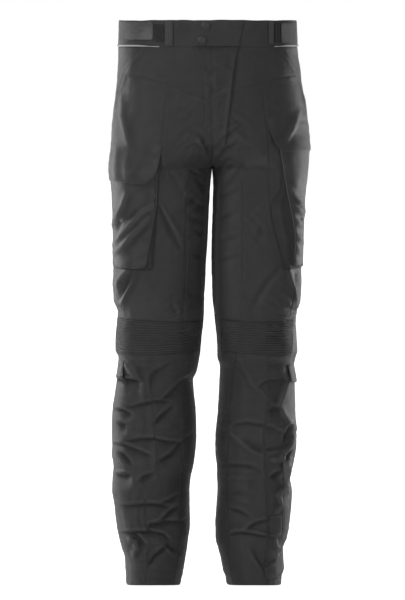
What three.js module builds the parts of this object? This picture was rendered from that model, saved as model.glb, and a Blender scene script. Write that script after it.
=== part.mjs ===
// Motorcycle trousers, worn shape with no wearer: hollow legs and waist, every cloth panel a closed wall.
// Millimetres, +Z up, the front faces -Y, the wearer's left is +X. The origin is in the middle of the waistband.
import * as THREE from "three";

// Driving dimensions
const WALL = 2; // shell cloth with its mesh lining
const TRIM_WALL = 1.4; // straps, tabs and flaps
const SEAM_GAP = 0.3; // between two panels at a seam, and under a piece that lies on a panel
const WAIST_TOP = 27;
const WAIST_SEAM = -23;
const CROTCH = -257;
const KNEE_RIBS = 14;
const RIB_HEIGHT = 1.1;

// A table is a list of rows under named columns, sorted from the waist down
const table = (columns, rows) =>
  rows.map((row) => Object.fromEntries(row.map((value, n) => [columns[n], value])));

// Half outline of each leg seen from the front: distance of the outer and inner edge from the middle
const OUTLINE = {
  R: table(
    ["z", "outer", "inner"],
    [
      [27, 179, 0],
      [-23, 181, 0],
      [-88, 184.5, 0],
      [-146, 191, 0],
      [-204, 196, 0],
      [-257, 196.5, 0],
      [-291, 194, 3.5],
      [-330, 192, 5.6],
      [-399, 190.5, 8.5],
      [-450, 191.5, 12],
      [-480, 193.6, 13.4],
      [-514, 192, 15.2],
      [-538, 184, 15.4],
      [-559, 185.7, 16.9],
      [-585, 188.3, 20.4],
      [-612, 188.4, 22.7],
      [-628, 182.8, 24.6],
      [-657, 185, 30],
      [-673, 187, 36.8],
      [-700, 191, 35],
      [-745, 196, 31.6],
      [-784, 196.3, 30.4],
      [-823, 196, 33.8],
      [-845, 193.2, 36.6],
      [-867, 195.9, 41.6],
      [-891, 197, 44],
      [-915, 193, 44.1],
      [-962, 187.2, 43.3],
      [-986, 183.3, 46.3],
      [-1006, 177.5, 48.7],
      [-1024, 171.6, 51.6],
      [-1050, 170.2, 56],
      [-1078, 168.2, 62.5],
    ],
  ),
  L: table(
    ["z", "outer", "inner"],
    [
      [27, 163, 0],
      [-23, 164.5, 0],
      [-59, 168.9, 0],
      [-88, 172.7, 0],
      [-117, 178.4, 0],
      [-146, 183.4, 0],
      [-204, 187, 0],
      [-257, 184.5, 0],
      [-291, 181, 2.4],
      [-330, 177, 1.5],
      [-399, 174, -0.7],
      [-438, 174, -1.2],
      [-480, 174, 0.3],
      [-514, 172.5, 1],
      [-538, 166, 4],
      [-559, 163.5, 6.2],
      [-585, 164.9, 8.9],
      [-612, 167, 10.9],
      [-628, 163, 11.4],
      [-645, 160, 15.4],
      [-673, 161.5, 14.8],
      [-713, 163.2, 12.9],
      [-745, 164, 10.6],
      [-784, 166, 6.7],
      [-803, 166, 6.6],
      [-823, 163.4, 7.2],
      [-845, 158.4, 9.9],
      [-867, 154.4, 10.3],
      [-891, 157.6, 10.7],
      [-915, 157, 9.3],
      [-962, 152.2, 7.1],
      [-986, 147.1, 7.5],
      [-1006, 140.2, 12.6],
      [-1024, 140.4, 17.2],
      [-1045, 142, 21.8],
      [-1062, 137.4, 27],
      [-1078, 135.9, 29.5],
    ],
  ),
};

// Section of a leg: depth in front of and behind its middle plane, the place of that plane and the squareness.
// Above the crotch the two legs run into one trunk: at share 1 they only touch, at 0 they are one round.
const SECTION = table(
  ["z", "front", "back", "middle", "square", "shareFront", "shareBack"],
  [
    [27, 110, 112, 0, 2.3, 0, 0],
    [-23, 115, 118, 0, 2.3, 0, 0],
    [-60, 120, 124, 0, 2.3, 0, 0],
    [-93, 124, 131, 0, 2.25, 0.02, 0],
    [-146, 129, 138, 0, 2.2, 0.11, 0.04],
    [-170, 129, 138, 0, 2.2, 0.2, 0.1],
    [-192, 128, 136, 0, 2.2, 0.31, 0.22],
    [-215, 124, 131, 0, 2.2, 0.45, 0.42],
    [-229, 120, 127, 0, 2.2, 0.58, 0.58],
    [-243, 116, 124, 1, 2.2, 0.76, 0.77],
    [-251, 113, 122, 1, 2.2, 0.89, 0.9],
    [-257, 112, 121, 2, 2.2, 1, 1],
    [-321, 104, 112, 4, 2.2, 1, 1],
    [-399, 99, 104, 4, 2.2, 1, 1],
    [-477, 95, 97, 2, 2.2, 1, 1],
    [-549, 94, 88, -2, 2.2, 1, 1],
    [-612, 92, 84, -2, 2.2, 1, 1],
    [-673, 82, 88, 5, 2.2, 1, 1],
    [-745, 78, 92, 10, 2.2, 1, 1],
    [-823, 77, 92, 10, 2.2, 1, 1],
    [-915, 77, 89, 8, 2.2, 1, 1],
    [-986, 77, 87, 6, 2.2, 1, 1],
    [-1078, 79, 88, 4, 2.15, 1, 1],
  ],
);

// Seams that run down each leg, as distances from the middle seen from the front; the side seam lies behind
// the outline, as a turn about the leg from its outer edge. innerShare places the knee panel's inner edge.
const SEAMS = {
  R: table(
    ["z", "innerShare", "innerSeam", "thighSeam", "pocketEdge", "sideTurn"],
    [
      [-23, 0.5, 24, 84, 134, -0.02],
      [-93, 0.5, 27, 86, 171, -0.03],
      [-146, 0.5, 30, 91, 187.5, -0.05],
      [-209, 0.5, 36, 96, 176, -0.1],
      [-284, 0.5, 46, 102, 160, -0.12],
      [-319, 0.5, 48, 105, 158, -0.12],
      [-381, 0.5, 50, 122, 168, -0.12],
      [-448, 0.5, 51, 142, 180, -0.12],
      [-506, 0.4, 53, 166, 185.5, -0.12],
      [-529, 0.25, 55, 173, 182.5, -0.12],
      [-549, 0.14, 57, 168, 183.8, -0.12],
      [-612, 0.14, 46, 121, 187.4, -0.12],
      [-709, 0.5, 52, 116, 168, -0.11],
      [-854, 0.5, 58, 107, 168, -0.1],
      [-911, 0.5, 60, 129, 172, -0.1],
      [-946, 0.5, 62, 130, 168, -0.1],
      [-975, 0.5, 63, 121, 162, -0.1],
      [-1078, 0.5, 78, 129, 154, -0.1],
    ],
  ),
  L: table(
    ["z", "innerShare", "innerSeam", "thighSeam", "pocketEdge", "sideTurn"],
    [
      [-23, 0.5, 24, 88, 128, -0.02],
      [-57, 0.5, 25, 90, 149, -0.02],
      [-93, 0.5, 27, 92, 167, -0.03],
      [-146, 0.5, 36, 101, 180, -0.05],
      [-223, 0.5, 54, 108, 168, -0.1],
      [-313, 0.5, 58, 110, 150, -0.12],
      [-414, 0.5, 58, 131, 158, -0.12],
      [-448, 0.5, 58, 145, 163, -0.12],
      [-491, 0.5, 58, 156, 168, -0.12],
      [-535, 0.48, 57, 150, 160, -0.12],
      [-549, 0.46, 56, 142, 157, -0.12],
      [-612, 0.46, 46, 109, 154, -0.12],
      [-694, 0.5, 36, 110, 146, -0.11],
      [-776, 0.5, 30, 101, 146, -0.1],
      [-969, 0.5, 30, 107, 138, -0.1],
      [-1078, 0.5, 44, 105, 126, -0.1],
    ],
  ),
};

// Cross seams and the rows between them. A row slopes outwards by rise for each millimetre along the front,
// and the hem is cut higher over the foot.
const ROWS = table(
  ["z", "steps", "riseR", "riseL", "frontLift"],
  [
    [-23, 3, 0, 0, 0],
    [-93, 3, 0.34, 0.32, 0],
    [-170, 2, 0, 0, 0],
    [-215, 4, 0, 0, 0],
    [-257, 12, 0, 0, 0],
    [-549, 3, 0.05, -0.026, 0],
    [-612, 19, -0.06, -0.05, 0],
    [-1078, 0, 0, 0, 12],
  ],
);
const ROW_NAMES = ["waist", "yoke", "hip", "gusset", "crotch", "kneeTop", "kneeBottom", "hem"];

// Columns of cells between the seams, from the middle front round the side to the middle back
const COLUMN_STEPS = { knee: 1, inner: 1, thigh: 4, pocket: 2, side: 3, back: 8 };

// Main folds: a soft trough (depth below 0) or ridge along a line on the front or the back
const FOLDS = table(
  ["face", "x", "z", "xEnd", "zEnd", "width", "depth"],
  [
    ["front", -30, -60, -4, -100, 12, 2.2],
    ["front", -58, -110, -12, -190, 15, -3],
    ["front", -152, -210, -84, -330, 16, -3],
    ["front", -104, -325, -62, -405, 16, -4],
    ["front", -120, -470, -40, -520, 16, 3],
    ["front", -172, -672, -132, -676, 13, -5],
    ["front", -168, -640, -138, -664, 12, 4],
    ["front", -128, -709, -62, -650, 13, 4.5],
    ["front", -120, -764, -40, -690, 13, -4.5],
    ["front", -168, -786, -66, -788, 13, -5],
    ["front", -186, -796, -122, -812, 12, 4],
    ["front", -98, -822, -44, -788, 14, 4],
    ["front", -162, -838, -140, -850, 15, -5],
    ["front", -140, -866, -112, -846, 12, 4],
    ["front", -104, -906, -58, -898, 13, 4],
    ["front", -166, -912, -60, -914, 13, -5],
    ["front", -100, -942, -58, -916, 13, 4],
    ["front", -124, -954, -58, -952, 16, -5.5],
    ["front", -168, -972, -92, -974, 12, 4],
    ["front", -148, -984, -148, -1022, 11, 4.5],
    ["front", -122, -1024, -86, -992, 12, -4.5],
    ["front", 6, -80, 44, -130, 13, -2.6],
    ["front", 76, -140, 44, -215, 16, 3],
    ["front", 60, -330, 120, -390, 18, -3.5],
    ["front", 30, -622, 92, -684, 13, 4.5],
    ["front", 106, -634, 136, -634, 12, -4.5],
    ["front", 140, -640, 124, -720, 14, 4],
    ["front", 126, -722, 158, -768, 13, 4.5],
    ["front", 40, -758, 110, -764, 15, -5],
    ["front", 36, -776, 88, -808, 13, 4],
    ["front", 24, -836, 86, -836, 14, -5],
    ["front", 30, -866, 100, -862, 14, 4],
    ["front", 34, -908, 94, -908, 13, -4.5],
    ["front", 68, -956, 108, -942, 12, -5],
    ["front", 26, -970, 138, -972, 12, 4.5],
    ["front", 82, -1004, 132, -1016, 16, -5],
    ["back", -80, -250, -160, -285, 15, -4],
    ["back", -40, -290, -150, -310, 15, -3.5],
    ["back", -40, -560, -160, -590, 15, -6],
    ["back", -50, -620, -160, -600, 14, -5],
    ["back", -60, -780, -170, -810, 14, -5],
    ["back", -70, -900, -170, -880, 14, -5],
    ["back", -80, -980, -160, -1000, 13, -4.5],
    ["back", 76, -255, 150, -280, 15, -4],
    ["back", 40, -300, 146, -292, 15, -3.5],
    ["back", 30, -570, 146, -562, 15, -6],
    ["back", 30, -604, 140, -622, 14, -5],
    ["back", 30, -800, 140, -776, 14, -5],
    ["back", 36, -880, 136, -906, 14, -5],
    ["back", 40, -990, 126, -976, 13, -4.5],
  ],
);

// Cargo pockets: where the gusset is sewn to the leg, where the face's front edge stands, and how far out
const POCKET = {
  R: table(
    ["z", "foot", "edge", "height"],
    [
      [-262, 101, 103, 6],
      [-319, 105, 108, 9],
      [-345, 111, 115, 10],
      [-381, 118, 122, 10],
      [-441, 123, 127, 6.5],
    ],
  ),
  L: table(
    ["z", "foot", "edge", "height"],
    [
      [-212, 111, 120, 5],
      [-250, 111, 128, 7],
      [-270, 111, 137, 8],
      [-313, 112, 144, 9],
      [-390, 126, 154, 8],
      [-414, 131, 156, 7.6],
      [-441, 137, 158, 6.6],
    ],
  ),
};
const POCKET_BACK = -0.25 * Math.PI; // turn of the pocket's back edge, behind the side seam

// Pocket flaps, from the line where they leave the leg to their free lower edge
const FLAP = {
  R: table(
    ["z", "front", "lift"],
    [
      [-226, 98, 3.3],
      [-240, 100, 5.6],
      [-255, 105, 9],
      [-268, 113, 10.6],
      [-281, 128, 11.5],
    ],
  ),
  L: table(
    ["z", "front", "lift"],
    [
      [-172, 108, 3.3],
      [-188, 110, 4.8],
      [-205, 117, 7.6],
      [-221, 130, 9.2],
    ],
  ),
};
const FLAP_BACK = -0.27 * Math.PI;

// Waistband: slanted end of the overlap, where it rises over the band below, and the press studs on it
const OVERLAP_END = { top: 59, bottom: 50 };
const OVERLAP_RISE = { from: -52, to: -30 };
const UNDERLAP_END = 14;
const STUD_RADIUS = 9.5;
const STUD_HEIGHT = 2.4;
const STUDS = table(
  ["name", "x", "z"],
  [
    ["press_stud_upper", -11.5, 15.8],
    ["press_stud_lower", -19, -11.5],
  ],
);

// Fly cover: its sewn left edge and free right edge
const FLY = table(
  ["z", "left", "right"],
  [
    [-23.6, -35, 49.6],
    [-50, -25, 44],
    [-78, -16.8, 39.5],
    [-108, -15, 36],
    [-140, -14.6, 32.4],
    [-175, -14.5, 28],
    [-209, -14.5, 24],
  ],
);

// Flat pieces sewn on one panel: signed x from and to, z from and to, lift at the top and the lower edge
const PATCHES = table(
  ["name", "finish", "from", "to", "top", "bottom", "liftTop", "liftBottom"],
  [
    ["waist_tab_R", "tab", -172, -111, 25, -11, 0, 0],
    ["waist_tape_R", "tape", -108.5, -91, 19, -14, 0, 0],
    ["waist_keeper_R", "shell", -89, -74, 26, -22.4, 0.3, 0.3],
    ["waist_keeper_L", "shell", 107, 116, 25, -18, 0, 0],
    ["waist_tape_L", "tape", 117.5, 128.5, 21, -15, 0, 0],
    ["waist_tab_L", "tab", 130, 158, 22, -17, 0.2, 0.2],
    ["calf_strap_R", "shell", -181, -168, -627, -672, -0.5, 6],
    ["calf_strap_L", "shell", 146, 158, -636, -673, 0, 6],
    ["side_strip_L", "reflective", 138, 149, -808, -968, 0.3, 0.3],
    ["hem_tab_L", "tab", 111, 135, -930, -966, 0.6, 0.6],
    ["hem_patch_L", "tab", 102, 126, -1030, -1055, 0.5, 0.5],
  ],
);
const PIPING = table(
  ["name", "leg", "front"],
  [
    ["waist_piping_R", "R", 118],
    ["waist_piping_L", "L", 110],
  ],
);

const SIDE = { R: -1, L: 1 };
const clamp = THREE.MathUtils.clamp;
const lerp = THREE.MathUtils.lerp;
const smooth = (value, from, to) => THREE.MathUtils.smoothstep(value, from, to);

// A column of a table at height z, on a smooth curve through its rows
function at(rows, column, z) {
  const last = rows.length - 1;
  if (z >= rows[0].z) return rows[0][column];
  if (z <= rows[last].z) return rows[last][column];
  let n = 0;
  while (rows[n + 1].z > z) n += 1;
  const slope = (a, b) => (rows[b][column] - rows[a][column]) / (rows[b].z - rows[a].z);
  const here = slope(n, n + 1);
  const tangent = (a, b) => {
    if (a < 0 || b > last) return here;
    const other = a === n ? slope(b - 1, b) : slope(a, a + 1);
    return here * other <= 0 ? 0 : (2 * here * other) / (here + other);
  };
  const span = rows[n + 1].z - rows[n].z;
  const t = (z - rows[n].z) / span;
  const start = tangent(n - 1, n) * span;
  const end = tangent(n, n + 2) * span;
  const [p, q] = [rows[n][column], rows[n + 1][column]];
  const t2 = t * t;
  const t3 = t2 * t;
  return p * (2 * t3 - 3 * t2 + 1) + start * (t3 - 2 * t2 + t) + q * (3 * t2 - 2 * t3) + end * (t3 - t2);
}

// The section of one leg at height z, in front (turn above 0) or behind
function section(leg, z, front) {
  const outer = at(OUTLINE[leg], "outer", z);
  const share = at(SECTION, front ? "shareFront" : "shareBack", z);
  const inner = z > CROTCH ? (outer * (share - 1)) / (1 + share) : at(OUTLINE[leg], "inner", z);
  return {
    centre: z > CROTCH ? (outer * share) / (1 + share) : (outer + inner) / 2,
    half: z > CROTCH ? outer / (1 + share) : (outer - inner) / 2,
    depth: at(SECTION, front ? "front" : "back", z),
    middle: at(SECTION, "middle", z),
    square: at(SECTION, "square", z),
    share: z > CROTCH ? share : 1,
  };
}

// Turn about the leg, from its outer edge (0) forwards to its inner edge (pi), of a distance from the middle
function turnOf(leg, z, distance) {
  const s = section(leg, z, true);
  const c = clamp((distance - s.centre) / s.half, -1, 1);
  return Math.acos(Math.sign(c) * Math.abs(c) ** (s.square / 2));
}

// Turn at which the front or back ends, at the middle of the trunk or the inner edge of the leg
function endTurn(leg, z, front) {
  const s = section(leg, z, front);
  return (front ? 1 : -1) * Math.acos(-(s.share ** (s.square / 2)));
}

function bareSurface(leg, turn, z) {
  const s = section(leg, z, turn >= 0);
  const c = Math.cos(turn);
  const across = s.centre + s.half * Math.sign(c) * Math.abs(c) ** (2 / s.square);
  const depth = s.depth * Math.abs(Math.sin(turn)) ** (2 / s.square);
  return new THREE.Vector3(SIDE[leg] * across, s.middle + (turn >= 0 ? -depth : depth), z);
}

// Outward direction of the leg's surface
function outwards(leg, turn, z) {
  const step = 0.02;
  const reach = 2;
  const round = bareSurface(leg, turn + step, z).sub(bareSurface(leg, turn - step, z));
  const down = bareSurface(leg, turn, z - reach).sub(bareSurface(leg, turn, z + reach));
  return round.cross(down).normalize().multiplyScalar(SIDE[leg]);
}

// How far the folds move a point of the surface along its outward direction
function foldDepth(point, normal) {
  let depth = 0;
  for (const fold of FOLDS) {
    const facing = fold.face === "front" ? -normal.y : normal.y;
    if (facing <= 0) continue;
    const run = [fold.xEnd - fold.x, fold.zEnd - fold.z];
    const long = Math.hypot(...run);
    const along = ((point.x - fold.x) * run[0] + (point.z - fold.z) * run[1]) / long;
    const off = ((point.x - fold.x) * run[1] - (point.z - fold.z) * run[0]) / long;
    const beyond = Math.max(0, -along, along - long);
    const profile = Math.exp(-((off / fold.width) ** 2) - (beyond / fold.width) ** 2);
    depth += fold.depth * profile * Math.sqrt(facing);
  }
  return depth;
}

// A point of the cloth and its outward direction, moved out by a lift
function cloth(leg, turn, z, lift = 0) {
  const normal = outwards(leg, turn, z);
  const point = bareSurface(leg, turn, z);
  point.addScaledVector(normal, foldDepth(point, normal) + lift);
  return { point, normal };
}

// The same by distance from the middle instead of a turn; x is signed, so it finds its own leg
function clothAt(x, z, lift = 0) {
  const leg = x < 0 ? "R" : "L";
  return cloth(leg, turnOf(leg, z, Math.abs(x)), z, lift);
}

// A closed wall on a grid of { point, normal }: outer cells, inner cells and the rims round their border.
// keep(column, row) picks the cells, and each border is set back by half the seam gap.
function wall(grid, thickness, keep = () => true, inset = SEAM_GAP / 2) {
  const rows = grid.length - 1;
  const columns = grid[0].length - 1;
  const inside = (c, r) => c >= 0 && r >= 0 && c < columns && r < rows && keep(c, r);
  const key = (c, r) => r * (columns + 1) + c;
  const [a, b, d] = [grid[0][0].point, grid[0][1].point, grid[1][0].point];
  const turned = b.clone().sub(a).cross(d.clone().sub(a)).dot(grid[0][0].normal) < 0;
  const faces = [];
  const borders = [];
  for (let r = 0; r < rows; r += 1) {
    for (let c = 0; c < columns; c += 1) {
      if (!inside(c, r)) continue;
      faces.push([key(c, r), key(c + 1, r), key(c + 1, r + 1), key(c, r + 1)]);
      if (!inside(c, r - 1)) borders.push([c, r, c + 1, r]);
      if (!inside(c + 1, r)) borders.push([c + 1, r, c + 1, r + 1]);
      if (!inside(c, r + 1)) borders.push([c + 1, r + 1, c, r + 1]);
      if (!inside(c - 1, r)) borders.push([c, r + 1, c, r]);
    }
  }
  const moved = new Map();
  for (const [c1, r1, c2, r2] of borders) {
    const [p, q] = [grid[r1][c1], grid[r2][c2]];
    const along = q.point.clone().sub(p.point).normalize();
    for (const [c, r, corner] of [[c1, r1, p], [c2, r2, q]]) {
      const inwards = corner.normal.clone().cross(along).normalize().multiplyScalar(turned ? -1 : 1);
      moved.set(key(c, r), [...(moved.get(key(c, r)) ?? []), inwards]);
    }
  }
  const positions = [];
  const place = new Map();
  const used = [...new Set(faces.flat())];
  for (const id of used) {
    const { point, normal } = grid[Math.floor(id / (columns + 1))][id % (columns + 1)];
    const outer = point.clone();
    const ways = moved.get(id) ?? [];
    const sum = ways.reduce((total, way) => total.add(way), new THREE.Vector3());
    if (ways.length) outer.addScaledVector(sum, (inset * ways.length) / Math.max(sum.lengthSq(), 0.5));
    place.set(id, positions.length / 3);
    positions.push(...outer.toArray(), ...outer.addScaledVector(normal, -thickness).toArray());
  }
  const index = [];
  const quad = (p, q, r, s) => index.push(...(turned ? [p, r, q, p, s, r] : [p, q, r, p, r, s]));
  for (const face of faces) {
    const [p, q, r, s] = face.map((id) => place.get(id));
    quad(p, q, r, s);
    quad(s + 1, r + 1, q + 1, p + 1);
  }
  for (const [c1, r1, c2, r2] of borders) {
    const [p, q] = [place.get(key(c1, r1)), place.get(key(c2, r2))];
    quad(p + 1, q + 1, q, p);
  }
  return solid(positions, index);
}

function solid(positions, index) {
  const geometry = new THREE.BufferGeometry();
  geometry.setAttribute("position", new THREE.Float32BufferAttribute(positions, 3));
  geometry.setIndex(index);
  geometry.computeVertexNormals();
  return geometry;
}

const FINISHES = {
  shell: { color: 0x36373a, roughness: 0.85, metalness: 0 },
  stretch: { color: 0x2b2c2f, roughness: 0.9, metalness: 0 },
  ribbed: { color: 0x323336, roughness: 0.8, metalness: 0 },
  band: { color: 0x323337, roughness: 0.85, metalness: 0 },
  tab: { color: 0x55565a, roughness: 0.9, metalness: 0 },
  tape: { color: 0x28292b, roughness: 0.85, metalness: 0 },
  reflective: { color: 0xc9ccd0, roughness: 0.45, metalness: 0.1 },
  stud: { color: 0x3a3b3e, roughness: 0.4, metalness: 0.6 },
};

const trousers = new THREE.Group();
function add(name, finish, geometry) {
  const mesh = new THREE.Mesh(geometry, new THREE.MeshStandardMaterial(FINISHES[finish]));
  mesh.name = name;
  trousers.add(mesh);
}

// Leg and trunk panels: one grid of cloth a side, whose cells are shared out between the panels
const rowOf = {};
const rowList = [];
ROWS.forEach((row, n) => {
  rowOf[ROW_NAMES[n]] = rowList.length;
  const next = ROWS[n + 1] ?? row;
  for (let k = 0; k < Math.max(row.steps, 1); k += 1) {
    const t = row.steps ? k / row.steps : 0;
    const blend = (column) => lerp(row[column], next[column], t);
    rowList.push({ z: blend("z"), R: blend("riseR"), L: blend("riseL"), frontLift: blend("frontLift") });
  }
});
const columnOf = {};
let columnCount = 0;
for (const [name, steps] of Object.entries(COLUMN_STEPS)) {
  columnCount += steps;
  columnOf[name] = columnCount;
}
const POCKET_END = rowOf.hip - 1; // row where the hip pocket's edge reaches the side

function legGrid(leg) {
  return rowList.map((row) => {
    const seam = (column) => at(SEAMS[leg], column, row.z);
    const front = endTurn(leg, row.z, true);
    const inner = turnOf(leg, row.z, seam("innerSeam"));
    const stops = [
      front,
      lerp(front, inner, seam("innerShare")),
      inner,
      turnOf(leg, row.z, seam("thighSeam")),
      turnOf(leg, row.z, seam("pocketEdge")),
      seam("sideTurn") * Math.PI,
      endTurn(leg, row.z, false),
    ];
    const centre = at(OUTLINE[leg], "outer", row.z) / 2;
    const turns = [stops[0]];
    Object.values(COLUMN_STEPS).forEach((steps, n) => {
      for (let k = 1; k <= steps; k += 1) turns.push(lerp(stops[n], stops[n + 1], k / steps));
    });
    return turns.map((turn, c) => {
      const flat = Math.max(0, Math.sin(turn)) ** 0.6;
      const across = Math.abs(bareSurface(leg, turn, row.z).x);
      const z = row.z + row[leg] * (across - centre) * flat + row.frontLift * flat * flat;
      const edge = c === 0 || c === turns.length - 1;
      const spot = cloth(leg, edge ? endTurn(leg, z, c === 0) : turn, z);
      if (edge && row.z >= CROTCH) {
        spot.point.x = (SIDE[leg] * SEAM_GAP) / 2;
        if (row.z > CROTCH) spot.normal.setX(SIDE[leg] * Math.min(0, SIDE[leg] * spot.normal.x)).normalize();
      }
      return spot;
    });
  });
}

function panelAt(c, r) {
  if (c >= columnOf.side) return r < rowOf.kneeTop ? "back_upper" : "back_lower";
  if (r < rowOf.yoke) return c < columnOf.pocket ? "yoke" : "side_hip";
  if (r < POCKET_END && c >= columnOf.pocket) return "side_hip";
  if (r < rowOf.kneeTop) {
    if (c >= columnOf.thigh) return "side_thigh";
    return c < columnOf.inner && r >= rowOf.gusset ? "inner_leg" : "front_thigh";
  }
  if (r < rowOf.kneeBottom && c >= columnOf.knee && c < columnOf.pocket) return "knee_panel";
  if (c < columnOf.inner && (r >= rowOf.kneeBottom || c < columnOf.knee)) return "inner_calf";
  return c < columnOf.thigh ? "shin_front" : "shin_outer";
}

const PANELS = {
  yoke: "shell",
  side_hip: "shell",
  front_thigh: "shell",
  side_thigh: "shell",
  inner_leg: "stretch",
  back_upper: "shell",
  shin_front: "shell",
  shin_outer: "shell",
  inner_calf: "stretch",
  back_lower: "shell",
};

// Knee panel: the panel's own cells split into fine rows whose every second line is raised as a rib
function kneePanel(grid) {
  const [first, last] = [rowOf.kneeTop, rowOf.kneeBottom];
  const [from, to] = [columnOf.knee, columnOf.pocket];
  const lines = 2 * KNEE_RIBS;
  const columns = to - from;
  const spots = (r) => grid[r].slice(from, to + 1);
  const positions = [];
  const rib = (line, c) => (line % 2 && c > 0 && c < columns ? RIB_HEIGHT : 0);
  const setBack = (list, c, row) => {
    const reach = SEAM_GAP; // the ribbed edge is cut in many short lines, so it stays further back
    const point = list[c].point.clone();
    const towards = (other) => point.add(other.clone().sub(list[c].point).setLength(reach));
    if (c === 0) towards(list[1].point);
    if (c === columns) towards(list[columns - 1].point);
    if (row === first) towards(grid[row + 1][from + c].point);
    if (row === last) towards(grid[row - 1][from + c].point);
    return point;
  };
  const inner = [];
  for (let r = first; r <= last; r += 1) {
    inner.push(spots(r).map((spot, c) => setBack(spots(r), c, r).addScaledVector(spot.normal, -WALL)));
  }
  for (let line = 0; line <= lines; line += 1) {
    const place = first + ((last - first) * line) / lines;
    const row = Math.min(Math.floor(place), last - 1);
    for (let c = 0; c <= columns; c += 1) {
      const point = setBack(spots(row), c, row).lerp(setBack(spots(row + 1), c, row + 1), place - row);
      positions.push(...point.addScaledVector(grid[row][from + c].normal, rib(line, c)).toArray());
    }
  }
  const innerStart = positions.length / 3;
  inner.flat().forEach((point) => positions.push(...point.toArray()));
  const index = [];
  const width = columns + 1;
  const turned = grid[first][from].point.x > 0;
  const tri = (p, q, r) => index.push(...(turned ? [p, q, r] : [p, r, q]));
  const quad = (p, q, r, s) => {
    tri(p, q, r);
    tri(p, r, s);
  };
  for (let line = 0; line < lines; line += 1) {
    for (let c = 0; c < columns; c += 1) {
      const p = line * width + c;
      quad(p, p + width, p + width + 1, p + 1);
    }
  }
  for (let r = 0; r < last - first; r += 1) {
    for (let c = 0; c < columns; c += 1) {
      const p = innerStart + r * width + c;
      quad(p, p + 1, p + width + 1, p + width);
    }
  }
  const bottom = lines * width;
  const innerBottom = innerStart + (last - first) * width;
  for (let c = 0; c < columns; c += 1) {
    quad(c, c + 1, innerStart + c + 1, innerStart + c);
    quad(bottom + c + 1, bottom + c, innerBottom + c, innerBottom + c + 1);
  }
  // The side rims join many outer rows to few inner rows
  for (const c of [0, columns]) {
    let near = 0;
    for (let line = 0; line < lines; line += 1) {
      const p = line * width + c;
      const q = innerStart + near * width + c;
      const ends = c === 0 ? [p, q, p + width] : [p, p + width, q];
      tri(...ends);
      if ((line + 1) / lines >= (near + 1) / (last - first) - 1e-9) {
        const next = q + width;
        tri(...(c === 0 ? [p + width, q, next] : [p + width, next, q]));
        near += 1;
      }
    }
  }
  return solid(positions, index);
}

for (const leg of ["R", "L"]) {
  const grid = legGrid(leg);
  for (const [panel, finish] of Object.entries(PANELS)) {
    add(`${panel}_${leg}`, finish, wall(grid, WALL, (c, r) => panelAt(c, r) === panel));
  }
  add(`knee_panel_${leg}`, "ribbed", kneePanel(grid));
}

// A point on the panels as they are faceted, moved out by a lift: seats what lies on them
const SEAT = SEAM_GAP + 0.5; // keeps a piece clear where it crosses the panels' edges
const PATCH_STEP = 7;
const CAST_FROM = 25;
const caster = new THREE.Raycaster();
const carriers = [...trousers.children]; // the leg panels, and the waistband once it is made
function onPanels(leg, turn, z, lift) {
  const { point, normal } = cloth(leg, turn, z);
  caster.set(point.clone().addScaledVector(normal, CAST_FROM), normal.clone().negate());
  caster.far = CAST_FROM + WALL;
  const [hit] = caster.intersectObjects(carriers);
  return { point: (hit?.point ?? point).clone().addScaledVector(normal, lift), normal };
}
function onPanelsBetween(from, to, share, z, lift) {
  const turns = [from, to].map((x) => SIDE[x < 0 ? "R" : "L"] * turnOf(x < 0 ? "R" : "L", z, Math.abs(x)));
  if (from * to > 0) return onPanels(from < 0 ? "R" : "L", Math.abs(lerp(turns[0], turns[1], share)), z, lift);
  const x = lerp(from, to, share);
  const leg = x < 0 ? "R" : "L";
  return onPanels(leg, turnOf(leg, z, Math.abs(x)), z, lift);
}

// Waistband: a front on each side, the right one running over the left, and one back
const BAND_ROWS = [WAIST_TOP, (WAIST_TOP + WAIST_SEAM) / 2, WAIST_SEAM];
const BAND_STEP = 18;
const bandGrid = (stations) => BAND_ROWS.map((z) => stations.map((station) => station(z)));
const sideStations = (leg, from, to, steps, spot = cloth, lift = 0) =>
  Array.from({ length: steps + 1 }, (_, n) => (z) => {
    const side = at(SEAMS[leg], "sideTurn", WAIST_SEAM) * Math.PI;
    const start = typeof from === "number" ? turnOf(leg, z, from) : side;
    const end = to === "side" ? side : -Math.PI / 2;
    return spot(leg, lerp(start, end, n / steps), z, lift);
  });
const bandLift = (x) => (WALL + SEAM_GAP) * smooth(x, OVERLAP_RISE.from, OVERLAP_RISE.to);
const overlapSteps = Math.round((OVERLAP_END.top - OVERLAP_RISE.from) / (BAND_STEP / 2));
const overlap = Array.from({ length: overlapSteps }, (_, n) => (z) => {
  const end = lerp(OVERLAP_END.bottom, OVERLAP_END.top, (z - WAIST_SEAM) / (WAIST_TOP - WAIST_SEAM));
  const x = lerp(end, OVERLAP_RISE.from, n / overlapSteps);
  return clothAt(x, z, bandLift(x));
});
const rightFront = [...overlap, ...sideStations("R", -OVERLAP_RISE.from, "side", 9)];
add("waistband_front_R", "band", wall(bandGrid(rightFront), WALL));
add("waistband_front_L", "band", wall(bandGrid(sideStations("L", UNDERLAP_END, "side", 9)), WALL));
const back = [...sideStations("R", "side", "back", 8), ...sideStations("L", "side", "back", 8).reverse().slice(1)];
add("waistband_back", "band", wall(bandGrid(back), WALL));

carriers.push(...trousers.children.filter((mesh) => mesh.name.startsWith("waistband")));

const FLY_COLUMNS = 7;
const FLY_ROWS = 15;
const fly = Array.from({ length: FLY_ROWS + 1 }, (_, r) => {
  const z = lerp(FLY[0].z, FLY[FLY.length - 1].z, r / FLY_ROWS);
  return Array.from({ length: FLY_COLUMNS + 1 }, (_, n) =>
    onPanelsBetween(at(FLY, "left", z), at(FLY, "right", z), n / FLY_COLUMNS, z, SEAT + TRIM_WALL),
  );
});
add("fly_cover", "shell", wall(fly, TRIM_WALL, undefined, 0));

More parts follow.
